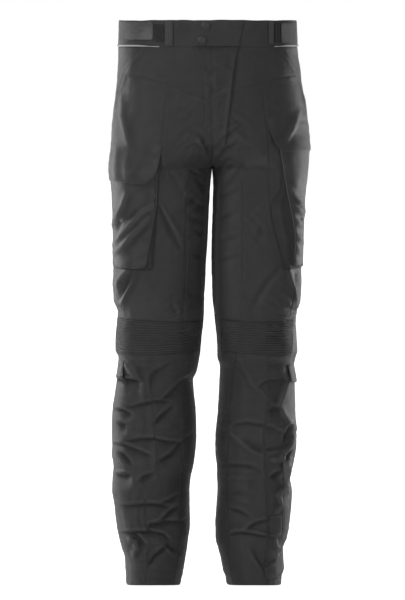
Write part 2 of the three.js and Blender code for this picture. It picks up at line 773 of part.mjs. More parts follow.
// Turned studs with a raised rim, on the lifted end of the waistband
const studProfile = [
  [0, 0],
  [STUD_RADIUS - 1, 0],
  [STUD_RADIUS, 0.8],
  [STUD_RADIUS - 0.6, STUD_HEIGHT],
  [STUD_RADIUS - 2.2, STUD_HEIGHT],
  [STUD_RADIUS - 3, STUD_HEIGHT - 0.7],
  [0, STUD_HEIGHT - 0.7],
].map(([radius, height]) => new THREE.Vector2(radius, height));
function addStud(name, { point, normal }, scale = 1) {
  const geometry = new THREE.LatheGeometry(studProfile, 20).scale(scale, scale, scale);
  geometry.applyQuaternion(new THREE.Quaternion().setFromUnitVectors(new THREE.Vector3(0, 1, 0), normal));
  geometry.translate(...point.toArray());
  add(name, "stud", geometry);
}
const STUD_SEAT = 0.55; // clears the band's curve under the flat stud
for (const stud of STUDS) {
  addStud(stud.name, clothAt(stud.x, stud.z, bandLift(stud.x) + STUD_SEAT));
}

// Patches: four rows, the first and last drawn in so that the corners are cut
const CORNER = 4;
for (const patch of PATCHES) {
  const steps = Math.max(2, Math.round(Math.abs(patch.to - patch.from) / PATCH_STEP));
  const rows = Math.max(1, Math.round((patch.top - patch.bottom) / (2 * PATCH_STEP)));
  const thickness = patch.finish === "reflective" ? 1 : TRIM_WALL;
  const inner = Array.from({ length: rows + 1 }, (_, n) =>
    lerp(patch.top - CORNER, patch.bottom + CORNER, n / rows),
  );
  const grid = [patch.top, ...inner, patch.bottom].map((z, n, all) => {
    const drawn = n === 0 || n === all.length - 1 ? Math.sign(patch.to - patch.from) * 3 : 0;
    const lift = lerp(patch.liftTop, patch.liftBottom, (patch.top - z) / (patch.top - patch.bottom));
    return Array.from({ length: steps + 1 }, (_, k) =>
      onPanelsBetween(patch.from + drawn, patch.to - drawn, k / steps, z, SEAT + thickness + lift),
    );
  });
  add(patch.name, patch.finish, wall(grid, thickness, undefined, 0));
}

// Piping let into the lower edge of the waistband at each side
const PIPING_WIDTH = 3.4;
const PIPING_WALL = 1.1;
for (const { name, leg, front } of PIPING) {
  const stations = sideStations(leg, front, "side", 14, onPanels, SEAT + PIPING_WALL);
  const heights = [WAIST_SEAM + 0.5 + PIPING_WIDTH, WAIST_SEAM + 0.5];
  const grid = heights.map((z) => stations.map((station) => station(z)));
  add(name, "reflective", wall(grid, PIPING_WALL, undefined, 0));
}

// Cargo pockets: a face that stands off the leg, the gusset round its three sewn sides, a flap and a stud
const FACE_COLUMNS = 11;
const FACE_ROWS = 7;
const GUSSET_ROWS = 3;
const GUSSET_FOOT = { R: 2.2, L: 3 }; // its thickness lies partly on the leg, more where it leans
const GUSSET_HEAD = 1.3; // under the face, whose facets dip between its corners
for (const leg of ["R", "L"]) {
  const rows = POCKET[leg];
  const top = rows[0].z;
  const bottom = rows[rows.length - 1].z;
  const height = (z) => at(rows, "height", z);
  const faceGrid = Array.from({ length: FACE_ROWS + 1 }, (_, r) => {
    const z = lerp(top, bottom, r / FACE_ROWS);
    const start = turnOf(leg, z, at(rows, "edge", z));
    return Array.from({ length: FACE_COLUMNS + 1 }, (_, c) =>
      cloth(leg, lerp(start, POCKET_BACK, c / FACE_COLUMNS), z, height(z)),
    );
  });
  add(`pocket_face_${leg}`, "shell", wall(faceGrid, TRIM_WALL, undefined, 0));

  // The gusset follows the face's border, set in under it, and its foot runs along the leg
  const setIn = 2.2;
  const border = [];
  const edgeTurn = (z, shift) => turnOf(leg, z, at(rows, "edge", z) + shift);
  for (let r = 0; r <= FACE_ROWS; r += 1) {
    const z = lerp(top - 2, bottom + setIn, r / FACE_ROWS);
    border.push([turnOf(leg, z, at(rows, "foot", z)), z, edgeTurn(z, setIn), z]);
  }
  const footEnd = turnOf(leg, bottom, rows[rows.length - 1].foot);
  const edgeEnd = edgeTurn(bottom + setIn, setIn);
  const backIn = 0.03;
  for (let c = 1; c < FACE_COLUMNS; c += 1) {
    const t = c / FACE_COLUMNS;
    const turns = [lerp(footEnd, POCKET_BACK, t), lerp(edgeEnd, POCKET_BACK + backIn, t)];
    border.push([turns[0], bottom - 3, turns[1], bottom + setIn]);
  }
  for (let r = FACE_ROWS; r >= 0; r -= 1) {
    const z = lerp(top - 2, bottom + setIn, r / FACE_ROWS);
    border.push([POCKET_BACK, z, POCKET_BACK + backIn, z]);
  }
  const strip = Array.from({ length: GUSSET_ROWS + 1 }, (_, k) => {
    const t = k / GUSSET_ROWS;
    return border.map(([footTurn, footZ, headTurn, headZ]) => {
      const foot = SEAT + GUSSET_FOOT[leg];
      const lift = lerp(height(headZ) - TRIM_WALL - GUSSET_HEAD, foot, t);
      return onPanels(leg, lerp(headTurn, footTurn, t), lerp(headZ, footZ, t), lift);
    });
  });
  strip.forEach((line, k) => {
    const [above, below] = [strip[Math.max(0, k - 1)], strip[Math.min(GUSSET_ROWS, k + 1)]];
    line.forEach((spot, n) => {
      const along = line[Math.min(line.length - 1, n + 1)].point.clone().sub(line[Math.max(0, n - 1)].point);
      const rise = above[n].point.clone().sub(below[n].point);
      spot.facing = along.cross(rise).normalize().multiplyScalar(SIDE[leg]);
    });
  });
  strip.flat().forEach((spot) => {
    spot.normal = spot.facing;
  });
  add(`pocket_gusset_${leg}`, "shell", wall(strip, TRIM_WALL, undefined, 0));

  const flap = FLAP[leg].map((row) => {
    const start = turnOf(leg, row.z, row.front);
    return Array.from({ length: FACE_COLUMNS + 1 }, (_, c) =>
      onPanels(leg, lerp(start, FLAP_BACK, c / FACE_COLUMNS), row.z, row.lift),
    );
  });
  add(`pocket_flap_${leg}`, "shell", wall(flap, TRIM_WALL, undefined, 0));
  const studHeight = -354;
  const studTurn = turnOf(leg, studHeight, leg === "R" ? 170 : 166);
  addStud(`pocket_stud_${leg}`, cloth(leg, studTurn, studHeight, height(studHeight) + 0.4), 0.4);
}

export default trousers;
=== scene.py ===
"""Motorcycle trousers: abrasion cloth shell with stretch insets, ribbed knees and two cargo pockets.

Sizes are millimetres, but metres for the camera, the floor and the lights. "R" is the wearer's right leg,
where x is below zero, and "L" the left. The front faces -Y. The origin is in the middle of the waistband.
"""

import math

import bmesh
import bpy
from mathutils import Matrix, Vector, kdtree, noise
from mathutils.bvhtree import BVHTree


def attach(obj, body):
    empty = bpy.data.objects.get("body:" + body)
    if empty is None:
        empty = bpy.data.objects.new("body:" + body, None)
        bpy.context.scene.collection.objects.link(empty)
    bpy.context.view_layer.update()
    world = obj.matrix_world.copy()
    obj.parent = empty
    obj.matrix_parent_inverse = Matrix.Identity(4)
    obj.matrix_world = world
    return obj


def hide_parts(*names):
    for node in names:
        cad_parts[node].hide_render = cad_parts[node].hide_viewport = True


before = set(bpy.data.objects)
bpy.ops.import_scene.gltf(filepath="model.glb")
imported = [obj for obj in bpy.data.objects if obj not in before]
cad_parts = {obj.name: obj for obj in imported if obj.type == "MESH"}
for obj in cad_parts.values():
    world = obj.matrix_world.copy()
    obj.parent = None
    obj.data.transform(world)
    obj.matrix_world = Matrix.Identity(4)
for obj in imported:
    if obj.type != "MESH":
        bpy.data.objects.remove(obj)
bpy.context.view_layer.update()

# Camera
# A long lens five and a half metres away at the height of the waist, a little to the wearer's right of the
# trousers' middle, so that the whole garment is seen almost flat on.
def add_object(name, data):
    made = bpy.data.objects.new(name, data)
    bpy.context.collection.objects.link(made)
    return made


camera_data = bpy.data.cameras.new("camera")
camera_data.lens = 170
camera_data.sensor_width = 36
camera = add_object("camera", camera_data)
camera.location = (-0.0185, -5.5, 0.02)
camera_aim = Vector((-0.0185, 0, -0.516)) - camera.location
camera.rotation_euler = camera_aim.to_track_quat("-Z", "Y").to_euler()
bpy.context.scene.camera = camera

# Panels of the legs and trunk
# Woven polyamide shell with a mesh lining behind it, cut in eight panels a side, with two stretch insets
# inside each leg, all sewn edge to edge. The shape is that of trousers worn with no wearer, with the folds
# of a stiff cloth.
MM = 0.001
SIDE = {"R": -1, "L": 1}
CROTCH = -257
SEAMS_MEET = Vector((0, -110, -235))  # where the thick seams of the crotch come together
WALL = 1.8  # shell and lining together


def table(columns, rows):
    return [dict(zip(columns, row)) for row in rows]


# Half outline of each leg seen from the front: distance of the outer and inner edge from the middle
OUTLINE = {
    "R": table(
        ("z", "outer", "inner"),
        [
            (27, 179, 0), (-23, 181, 0), (-88, 184.5, 0), (-146, 191, 0), (-204, 196, 0),
            (-257, 196.5, 0), (-291, 194, 3.5), (-330, 192, 5.6), (-399, 190.5, 8.5), (-450, 191.5, 12),
            (-480, 193.6, 13.4), (-514, 192, 15.2), (-538, 184, 15.4), (-559, 185.7, 16.9),
            (-585, 188.3, 20.4), (-612, 188.4, 22.7), (-628, 182.8, 24.6), (-657, 185, 30),
            (-673, 187, 36.8), (-700, 191, 35), (-745, 196, 31.6), (-784, 196.3, 30.4),
            (-823, 196, 33.8), (-845, 193.2, 36.6), (-867, 195.9, 41.6), (-891, 197, 44),
            (-915, 193, 44.1), (-962, 187.2, 43.3), (-986, 183.3, 46.3), (-1006, 177.5, 48.7),
            (-1024, 171.6, 51.6), (-1050, 170.2, 56), (-1078, 168.2, 62.5),
        ],
    ),
    "L": table(
        ("z", "outer", "inner"),
        [
            (27, 163, 0), (-23, 164.5, 0), (-59, 168.9, 0), (-88, 172.7, 0), (-117, 178.4, 0),
            (-146, 183.4, 0), (-204, 187, 0), (-257, 184.5, 0), (-291, 181, 2.4), (-330, 177, 1.5),
            (-399, 174, -0.7), (-438, 174, -1.2), (-480, 174, 0.3), (-514, 172.5, 1), (-538, 166, 4),
            (-559, 163.5, 6.2), (-585, 164.9, 8.9), (-612, 167, 10.9), (-628, 163, 11.4),
            (-645, 160, 15.4), (-673, 161.5, 14.8), (-713, 163.2, 12.9), (-745, 164, 10.6),
            (-784, 166, 6.7), (-803, 166, 6.6), (-823, 163.4, 7.2), (-845, 158.4, 9.9),
            (-867, 154.4, 10.3), (-891, 157.6, 10.7), (-915, 157, 9.3), (-962, 152.2, 7.1),
            (-986, 147.1, 7.5), (-1006, 140.2, 12.6), (-1024, 140.4, 17.2), (-1045, 142, 21.8),
            (-1062, 137.4, 27), (-1078, 135.9, 29.5),
        ],
    ),
}

# Section of a leg: depth before and behind its middle plane, the place of that plane and the squareness.
# Above the crotch the legs run into one trunk: at share 1 they only touch, at 0 they are one round.
SECTION = table(
    ("z", "front", "back", "middle", "square", "share_front", "share_back"),
    [
        (27, 110, 112, 0, 2.3, 0, 0),
        (-23, 115, 118, 0, 2.3, 0, 0),
        (-60, 120, 124, 0, 2.3, 0, 0),
        (-93, 124, 131, 0, 2.25, 0.02, 0),
        (-146, 129, 138, 0, 2.2, 0.11, 0.04),
        (-170, 129, 138, 0, 2.2, 0.2, 0.1),
        (-192, 127.5, 136, 0, 2.2, 0.3, 0.22),
        (-215, 123.7, 131, 0.5, 2.22, 0.5, 0.46),
        (-229, 121.4, 127, 1, 2.25, 0.68, 0.66),
        (-240, 119.4, 124.5, 1.3, 2.3, 0.83, 0.82),
        (-249, 117.8, 122.5, 1.6, 2.35, 0.94, 0.93),
        (-257, 116.5, 121, 2, 2.4, 1, 1),
        (-321, 105, 112, 4, 2.5, 1, 1),
        (-399, 99, 104, 4, 2.4, 1, 1),
        (-477, 95, 97, 2, 2.3, 1, 1),
        (-549, 94, 88, -2, 2.2, 1, 1),
        (-612, 92, 84, -2, 2.2, 1, 1),
        (-673, 82, 88, 5, 2.2, 1, 1),
        (-745, 78, 92, 10, 2.2, 1, 1),
        (-823, 77, 92, 10, 2.2, 1, 1),
        (-915, 77, 89, 8, 2.2, 1, 1),
        (-986, 77, 87, 6, 2.2, 1, 1),
        (-1078, 79, 88, 4, 2.15, 1, 1),
    ],
)

# Seams that run down each leg, as distances from the middle seen from the front. The side seam is a turn
# about the leg behind its outer edge, in half turns, and inner_share places the knee panel's inner edge.
SEAMS = {
    "R": table(
        ("z", "inner_share", "inner", "thigh", "pocket", "side"),
        [
            (-23, 0.5, 24, 84, 134, -0.02),
            (-93, 0.5, 27, 86, 171, -0.03),
            (-146, 0.5, 30, 91, 187.5, -0.05),
            (-209, 0.5, 36, 96, 176, -0.1),
            (-284, 0.5, 46, 102, 160, -0.12),
            (-319, 0.5, 48, 105, 158, -0.12),
            (-381, 0.5, 50, 122, 168, -0.12),
            (-448, 0.5, 51, 142, 180, -0.12),
            (-506, 0.4, 53, 166, 185.5, -0.12),
            (-529, 0.25, 55, 173, 182.5, -0.12),
            (-549, 0.14, 57, 168, 183.8, -0.12),
            (-612, 0.14, 46, 121, 187.4, -0.12),
            (-709, 0.5, 52, 116, 168, -0.11),
            (-854, 0.5, 58, 107, 168, -0.1),
            (-911, 0.5, 60, 129, 172, -0.1),
            (-946, 0.5, 62, 130, 168, -0.1),
            (-975, 0.5, 63, 121, 162, -0.1),
            (-1078, 0.5, 78, 129, 154, -0.1),
        ],
    ),
    "L": table(
        ("z", "inner_share", "inner", "thigh", "pocket", "side"),
        [
            (-23, 0.5, 24, 88, 128, -0.02),
            (-57, 0.5, 25, 90, 149, -0.02),
            (-93, 0.5, 27, 92, 167, -0.03),
            (-146, 0.5, 36, 101, 180, -0.05),
            (-223, 0.5, 54, 108, 168, -0.1),
            (-313, 0.5, 58, 110, 150, -0.12),
            (-414, 0.5, 58, 131, 158, -0.12),
            (-448, 0.5, 58, 145, 163, -0.12),
            (-491, 0.5, 58, 156, 168, -0.12),
            (-535, 0.48, 57, 150, 160, -0.12),
            (-549, 0.46, 56, 142, 157, -0.12),
            (-612, 0.46, 46, 109, 154, -0.12),
            (-694, 0.5, 36, 110, 146, -0.11),
            (-776, 0.5, 30, 101, 146, -0.1),
            (-969, 0.5, 30, 107, 138, -0.1),
            (-1078, 0.5, 44, 105, 126, -0.1),
        ],
    ),
}

# Cross seams and the heights between them. A row slopes outwards by rise for each millimetre along the
# front, the hem is cut higher over the foot, and steps is the number of cells down to the next row.
ROWS = table(
    ("name", "z", "rise_R", "rise_L", "front_lift", "steps"),
    [
        ("waist", -23, 0, 0, 0, 20),
        ("yoke", -93, 0.34, 0.32, 0, 16),
        ("pocket_end", -144.3, 0.113, 0.107, 0, 8),
        ("hip", -170, 0, 0, 0, 14),
        ("gusset", -215, 0, 0, 0, 14),
        ("crotch", -257, 0, 0, 0, 114),
        ("knee_top", -549, 0.05, -0.026, 0, 16),
        ("knee_bottom", -612, -0.06, -0.05, 0, 220),
        ("hem", -1078, 0, 0, 12, 0),
    ],
)

row_named = {row["name"]: row for row in ROWS}

# Strips of cells between the seams, from the middle front round the side to the middle back
STRIPS = {"knee": 6, "inner": 10, "thigh": 34, "pocket": 22, "side": 16, "back": 40}

# The panel that each strip belongs to, from each row of ROWS down to the next
LAYOUT = [
    dict(zip(STRIPS, panels.split()))
    for panels in (
        "yoke yoke yoke yoke side_hip back_upper",
        "front_thigh front_thigh front_thigh side_thigh side_hip back_upper",
        "front_thigh front_thigh front_thigh side_thigh side_thigh back_upper",
        "front_thigh front_thigh front_thigh side_thigh side_thigh back_upper",
        "inner_leg inner_leg front_thigh side_thigh side_thigh back_upper",
        "inner_leg inner_leg front_thigh side_thigh side_thigh back_upper",
        "inner_calf knee_panel knee_panel knee_panel shin_outer back_lower",
        "inner_calf inner_calf shin_front shin_outer shin_outer back_lower",
    )
]

# Folds of the front and the back: a trough (depth below 0) or a ridge, its two widths and its line. The
# widths are those on the left and the right hand, going along the line as seen from the front: a narrow one
# makes a sharp tuck.
FOLDS = {
    "front": [
        # Lower right leg
        (-13, 4, 24, (-181, -668), (-160, -667), (-139, -667)),
        (10, 5, 12, (-168, -630), (-154, -641), (-143, -661)),
        (4, 4, 6, (-135, -667), (-133, -709)),
        (-6, 5, 19, (-118, -684), (-116, -661), (-107, -649), (-88, -636)),
        (-8, 5, 19, (-93, -703), (-76, -690), (-57, -672), (-42, -659)),
        (-7, 4, 16, (-160, -721), (-137, -714), (-109, -708), (-84, -709)),
        (-7, 4, 16, (-111, -751), (-99, -738), (-76, -719)),
        (-12, 4, 14, (-189, -730), (-175, -728), (-156, -736)),
        (-8, 5, 14, (-185, -757), (-168, -755)),
        (-8, 4, 18, (-164, -786), (-137, -782), (-114, -782), (-84, -788), (-59, -790)),
        (-11, 4, 16, (-191, -798), (-172, -796), (-147, -805), (-124, -813)),
        (-8.5, 4, 19, (-99, -823), (-76, -811), (-42, -778)),
        (-8, 6, 5, (-183, -811), (-160, -831)),
        (-13, 4, 19, (-189, -858), (-175, -856), (-160, -852)),
        (-6, 4, 14, (-143, -865), (-132, -856), (-114, -848)),
        (-5, 14, 19, (-80, -887), (-61, -863), (-46, -834)),
        (-6, 4, 14, (-103, -910), (-80, -902), (-59, -892)),
        (-8, 4, 18, (-173, -914), (-137, -911), (-114, -910), (-80, -916)),
        (-8, 4, 12, (-99, -941), (-80, -927), (-59, -914)),
        (-8.5, 4, 19, (-124, -958), (-118, -948), (-90, -945), (-51, -946)),
        (-9, 4, 16, (-175, -970), (-147, -965), (-118, -964), (-93, -970), (-84, -979)),
        (-8, 4, 11, (-152, -971), (-133, -987)),
        (8, 4, 8, (-162, -981), (-149, -981), (-145, -995), (-151, -1012)),
        (-7, 4, 12, (-122, -1027), (-114, -1014), (-86, -989)),
        (-7, 12, 4, (-86, -989), (-63, -1010)),
        # Lower left leg
        (2, 5, 5, (50, -622), (69, -657), (80, -676), (95, -686), (111, -709)),
        (-5, 7, 11, (105, -634), (137, -634)),
        (-5.5, 4, 22, (93, -676), (107, -668), (139, -667)),
        (9.5, 9, 5, (135, -645), (145, -670), (128, -715), (139, -738), (162, -767)),
        (8, 8, 4, (162, -767), (153, -796), (134, -815), (141, -830), (144, -846), (130, -856)),
        (7, 7, 4, (133, -861), (139, -877), (128, -892), (133, -912), (122, -931)),
        (-8, 5, 4, (154, -753), (141, -788)),
        (-8, 4, 5, (152, -807), (137, -834)),
        (7, 5, 4, (152, -827), (143, -873), (147, -892)),
        (-6, 6, 16, (111, -724), (135, -724)),
        (-4.5, 4, 22, (36, -763), (46, -754), (72, -751), (95, -755), (120, -763), (145, -777)),
        (-4, 16, 4, (63, -784), (76, -796), (95, -803), (130, -801), (145, -794)),
        (3, 5, 6, (15, -759), (38, -773), (63, -792), (88, -807)),
        (-4, 4, 11, (21, -837), (38, -834), (69, -835), (90, -842)),
        (5.5, 6, 6, (112, -822), (139, -822)),
        (-5.5, 4, 11, (114, -855), (132, -848)),
        (-2.5, 14, 14, (69, -861), (95, -865)),
        (-4, 4, 11, (32, -919), (50, -923), (72, -933)),
        (2, 6, 5, (34, -908), (53, -901), (76, -904)),
        (-5, 5, 14, (65, -960), (84, -948), (111, -941)),
        (4, 6, 4, (27, -971), (44, -960), (63, -958), (88, -964), (114, -969), (139, -970)),
        (-4, 4, 14, (30, -970), (50, -966), (82, -968), (111, -975)),
        (-5, 19, 4, (78, -995), (88, -1014), (99, -1027), (120, -1022), (135, -1008)),
        (7, 5, 5, (122, -979), (124, -993), (133, -1000)),
        # Right thigh and cargo pocket
        (-3, 3, 9, (-103, -323), (-93, -346), (-80, -375), (-59, -408)),
        (2, 5, 4, (-99, -325), (-80, -356), (-57, -391)),
        (-2, 6, 8, (-80, -267), (-61, -294), (-55, -306)),
        (2, 6, 6, (-91, -236), (-84, -271)),
        (-3.5, 4, 10, (-34, -261), (-23, -281), (-11, -298)),
        (-2.5, 5, 10, (-44, -311), (-27, -327), (-10, -335)),
        (-2, 5, 10, (-44, -348), (-27, -356), (-10, -365)),
        (-2, 5, 6, (-78, -512), (-69, -537)),
        (-2, 8, 8, (-51, -487), (-38, -502), (-15, -506)),
        (5, 5, 8, (-141, -448), (-156, -479), (-173, -514)),
        (7, 6, 8, (-160, -450), (-179, -472), (-183, -493)),
        (-7, 6, 6, (-154, -458), (-172, -491), (-181, -512)),
        (5, 5, 6, (-173, -116), (-173, -155), (-160, -209)),
        (4, 5, 5, (-181, -217), (-181, -275)),
        (4, 5, 5, (-162, -236), (-160, -275)),
        (9, 6, 7, (-162, -302), (-168, -329), (-181, -356), (-193, -373)),
        (-7, 5, 5, (-170, -356), (-179, -375), (-189, -400)),
        (7.5, 7, 5, (-107, -319), (-133, -336), (-154, -364), (-175, -392), (-189, -408)),
        (9, 6, 7, (-122, -348), (-137, -369), (-149, -383), (-166, -408), (-187, -423)),
        (-2, 3, 6, (-13, -265), (-27, -252), (-38, -248)),
        (-2.5, 3, 6, (-10, -286), (-23, -267), (-42, -259)),
        (2, 3, 4, (-11, -319), (-23, -306), (-30, -290)),
        (-2, 3, 6, (-10, -391), (-23, -383), (-36, -375)),
        (-2, 3, 6, (-11, -433), (-27, -427), (-38, -425)),
        # Left thigh and cargo pocket
        (-2, 3, 6, (10, -255), (23, -242), (38, -232)),
        (-1.5, 3, 6, (11, -356), (30, -344), (46, -335)),
        (-1.5, 3, 6, (11, -398), (30, -391), (50, -383)),
        (-1.5, 3, 6, (13, -433), (34, -425), (53, -421)),
        (-2.5, 5, 10, (130, -445), (107, -470), (91, -493), (76, -522)),
        (-2, 4, 7, (11, -269), (27, -257), (42, -246)),
        (-2, 4, 7, (25, -288), (38, -271), (53, -250)),
        (-1.5, 4, 8, (15, -311), (30, -304), (48, -294)),
        (1, 6, 6, (72, -348), (97, -319)),
        (-1.5, 6, 8, (95, -360), (86, -394)),
        (7, 7, 5, (145, -448), (151, -472), (160, -493), (162, -526)),
        (-7, 5, 5, (162, -460), (166, -506)),
        (5, 5, 8, (168, -145), (154, -178), (139, -201)),
        (5, 5, 5, (156, -309), (166, -327), (179, -350)),
        (3.5, 4, 4, (149, -323), (162, -338), (173, -350)),
        (4, 4, 5, (151, -346), (160, -362), (170, -373)),
        (4, 5, 5, (152, -375), (162, -391), (170, -404)),
        (3.5, 4, 5, (154, -400), (162, -418)),
        # Round the fly and the crotch
        (-3, 3, 8, (4, -246), (19, -221), (46, -203)),
        (-3, 8, 3, (-25, -192), (-11, -215), (-4, -238)),
        (-2, 3, 8, (-50, -217), (-32, -207), (-13, -217)),
        (-2, 3, 7, (8, -209), (29, -188), (53, -171)),
        (-1.5, 3, 6, (8, -259), (23, -252), (44, -252)),
        (-1, 5, 8, (-23, -47), (-11, -64), (19, -80)),
        (1, 5, 5, (-2, -47), (19, -62), (36, -78)),
        (-1, 5, 6, (-13, -84), (0, -105), (13, -118)),
        (0.5, 5, 5, (0, -89), (19, -107), (32, -118)),
        (-1.5, 5, 8, (-40, -180), (-15, -196)),
        (1, 6, 6, (32, -142), (53, -157), (71, -174)),
        (-1, 6, 6, (36, -157), (63, -174)),
        (1, 7, 7, (34, -178), (57, -198), (78, -215)),
    ],
    "back": [
        # Back of both legs
        (-4, 8, 15, (-80, -250), (-160, -285)),
        (-3.5, 8, 15, (-40, -290), (-150, -310)),
        (-6, 8, 15, (-40, -560), (-100, -572), (-160, -590)),
        (-5, 7, 14, (-50, -620), (-160, -600)),
        (-5, 7, 14, (-60, -690), (-120, -705), (-175, -690)),
        (-5, 6, 14, (-60, -780), (-120, -800), (-170, -810)),
        (-5, 6, 14, (-70, -900), (-120, -885), (-170, -880)),
        (-4.5, 6, 13, (-80, -980), (-120, -985), (-160, -1000)),
        (-4, 8, 15, (76, -255), (150, -280)),
        (-3.5, 8, 15, (40, -300), (146, -292)),
        (-6, 8, 15, (30, -570), (90, -562), (146, -562)),
        (-5, 7, 14, (30, -604), (140, -622)),
        (-5, 7, 14, (40, -700), (90, -712), (150, -700)),
        (-5, 6, 14, (30, -800), (90, -785), (140, -776)),
        (-5, 6, 14, (36, -880), (136, -906)),
        (-4.5, 6, 13, (40, -990), (90, -990), (126, -976)),
    ],
}


def mix(start, end, share):
    return start + (end - start) * share


def smooth(value, start, end):
    t = min(max((value - start) / (end - start), 0.0), 1.0)
    return t * t * (3 - 2 * t)


CURVE_TOP, CURVE_LENGTH = 40, 1160  # the heights that the curves cover


def curve(rows, column):
    """A column of a table as a smooth function of height through its rows, kept at each millimetre."""
    heights = [row["z"] for row in rows]
    values = [row[column] for row in rows]
    slopes = [
        (values[n + 1] - values[n]) / (heights[n + 1] - heights[n]) for n in range(len(rows) - 1)
    ]
    tangents = [slopes[0]]
    for before, after in zip(slopes, slopes[1:]):
        tangents.append(0 if before * after <= 0 else 2 * before * after / (before + after))
    tangents.append(slopes[-1])

    def through(z):
        if z >= heights[0]:
            return values[0]
        if z <= heights[-1]:
            return values[-1]
        n = next(n for n in range(len(rows) - 1) if heights[n + 1] <= z)
        span = heights[n + 1] - heights[n]
        t = (z - heights[n]) / span
        start = values[n] * (2 * t**3 - 3 * t**2 + 1) + tangents[n] * span * (t**3 - 2 * t**2 + t)
        end = values[n + 1] * (3 * t**2 - 2 * t**3) + tangents[n + 1] * span * (t**3 - t**2)
        return start + end

    kept = [through(CURVE_TOP - n) for n in range(CURVE_LENGTH)]

    def value(z):
        place = min(max(CURVE_TOP - z, 0.0), len(kept) - 1.001)
        n = int(place)
        return kept[n] + (kept[n + 1] - kept[n]) * (place - n)

    return value


outer_edge = {leg: curve(OUTLINE[leg], "outer") for leg in SIDE}
inner_edge = {leg: curve(OUTLINE[leg], "inner") for leg in SIDE}
seam_line = {
    leg: {name: curve(SEAMS[leg], name) for name in SEAMS[leg][0] if name != "z"} for leg in SIDE
}
section_of = {name: curve(SECTION, name) for name in SECTION[0] if name != "z"}


def section(leg, z, front):
    """Centre, half width, depth, middle plane, squareness and share of one leg at a height."""
    outer = outer_edge[leg](z)
    depth = section_of["front" if front else "back"](z)
    middle = section_of["middle"](z)
    square = section_of["square"](z)
    if z > CROTCH:
        share = section_of["share_front" if front else "share_back"](z)
        return outer * share / (1 + share), outer / (1 + share), depth, middle, square, share
    inner = inner_edge[leg](z)
    return (outer + inner) / 2, (outer - inner) / 2, depth, middle, square, 1


def turn_of(leg, z, distance):
    """Turn about the leg, from 0 at its outer edge forwards, of a distance from the middle."""
    centre, half, _, _, square, _ = section(leg, z, True)
    c = min(max((distance - centre) / half, -1), 1)
    return math.acos(math.copysign(abs(c) ** (square / 2), c))


def end_turn(leg, z, front):
    """Turn at which the front or the back ends: the middle of the trunk or the inner edge of the leg."""
    *_, square, share = section(leg, z, front)
    return (1 if front else -1) * math.acos(-(share ** (square / 2)))


def bare_cloth(leg, turn, z):
    centre, half, depth, middle, square, _ = section(leg, z, turn >= 0)
    c = math.cos(turn)
    across = centre + half * math.copysign(abs(c) ** (2 / square), c)
    depth *= abs(math.sin(turn)) ** (2 / square)
    return Vector((SIDE[leg] * across, middle + (-depth if turn >= 0 else depth), z))


def outwards(leg, turn, z):
    step, reach = 0.02, 2
    round_leg = bare_cloth(leg, turn + step, z) - bare_cloth(leg, turn - step, z)
    down = bare_cloth(leg, turn, z - reach) - bare_cloth(leg, turn, z + reach)
    return round_leg.cross(down).normalized() * SIDE[leg]


# The folds near each 20 mm of height, so that a point looks only at those. None reaches further than three
# of its widths.
FOLD_BAND, FOLD_REACH = 20, 3
folds_near = {}
for face, folds in FOLDS.items():
    for depth, left, right, *line in folds:
        reach = FOLD_REACH * max(left, right)
        heights = [z for _, z in line]
        lowest, highest = ((end // FOLD_BAND) for end in (min(heights) - reach, max(heights) + reach))
        for band in range(int(lowest), int(highest) + 1):
            fold = {"face": face, "depth": depth, "left": left, "right": right, "line": line}
            folds_near.setdefault(band, []).append(fold)


def from_line(x, z, fold):
    """How far a place is off a fold's line and beyond its ends, and the share of the line reached there."""
    nearest = None
    run = 0.0
    for (x1, z1), (x2, z2) in zip(fold["line"], fold["line"][1:]):
        long = math.hypot(x2 - x1, z2 - z1)
        run_x, run_z = (x2 - x1) / long, (z2 - z1) / long
        along = (x - x1) * run_x + (z - z1) * run_z
        off = (x - x1) * run_z - (z - z1) * run_x
        beyond = max(0.0, -along, along - long)
        if nearest is None or off**2 + beyond**2 < nearest[0]:
            nearest = off**2 + beyond**2, off, beyond, run + min(max(along, 0.0), long)
        run += long
    _, off, beyond, reached = nearest
    return off, beyond, reached / run


def fold_shape(x, z, fold):
    """Height of a fold at a place, where its line is 1. A trough has a lip on its narrow hand, and both ends
    run out thinner and lower."""
    off, beyond, share = from_line(x, z, fold)
    full = 0.35 + 0.65 * math.sin(math.pi * share) ** 0.7
    wide = mix(0.6, 1, full)
    left, right = fold["left"] * wide, fold["right"] * wide
    width = right if off > 0 else left
    squares = (off / width) ** 2 + (2 * beyond / (left + right)) ** 2
    if squares > FOLD_REACH**2:
        return 0.0
    shape = math.exp(-1.1 * squares**0.8)
    if fold["depth"] < 0 and (off > 0) == (right < left):
        shape -= 0.18 * math.exp(-1.3 * (abs(off) / width - 1.9) ** 2 - 0.4 * (beyond / width) ** 2)
    return shape * full


def fold_depth(point, normal):
    total = 0.0
    for fold in folds_near.get(int(point.z // FOLD_BAND), ()):
        facing = -normal.y if fold["face"] == "front" else normal.y
        if facing > 0:
            total += fold["depth"] * fold_shape(point.x, point.z, fold) * facing**0.3
    return total


def slack(point):
    """The small unevenness of a stiff cloth between its folds, with patches of fine creases.

    The creases run outwards and down from the crotch, and level round the lower legs.
    """
    level = smooth(-point.z, 520, 640)
    aside = abs(point.x)
    along = mix(0.7 * (aside - point.z), aside, level)
    across = mix(0.7 * (aside + point.z), point.z, level)
    creased = smooth(noise.noise(point / 80), -0.15, 0.35)
    creased *= smooth(aside, 0, 25) * smooth(-point.z, 10, 70)
    other_leg = 5 if point.x < 0 else 0
    crease = 1.3 * creased * noise.noise(Vector((along / 38, across / 9, point.y / 60 + other_leg)))
    return 0.9 * noise.noise(point / 42) + 0.45 * noise.noise(point / 15) + crease


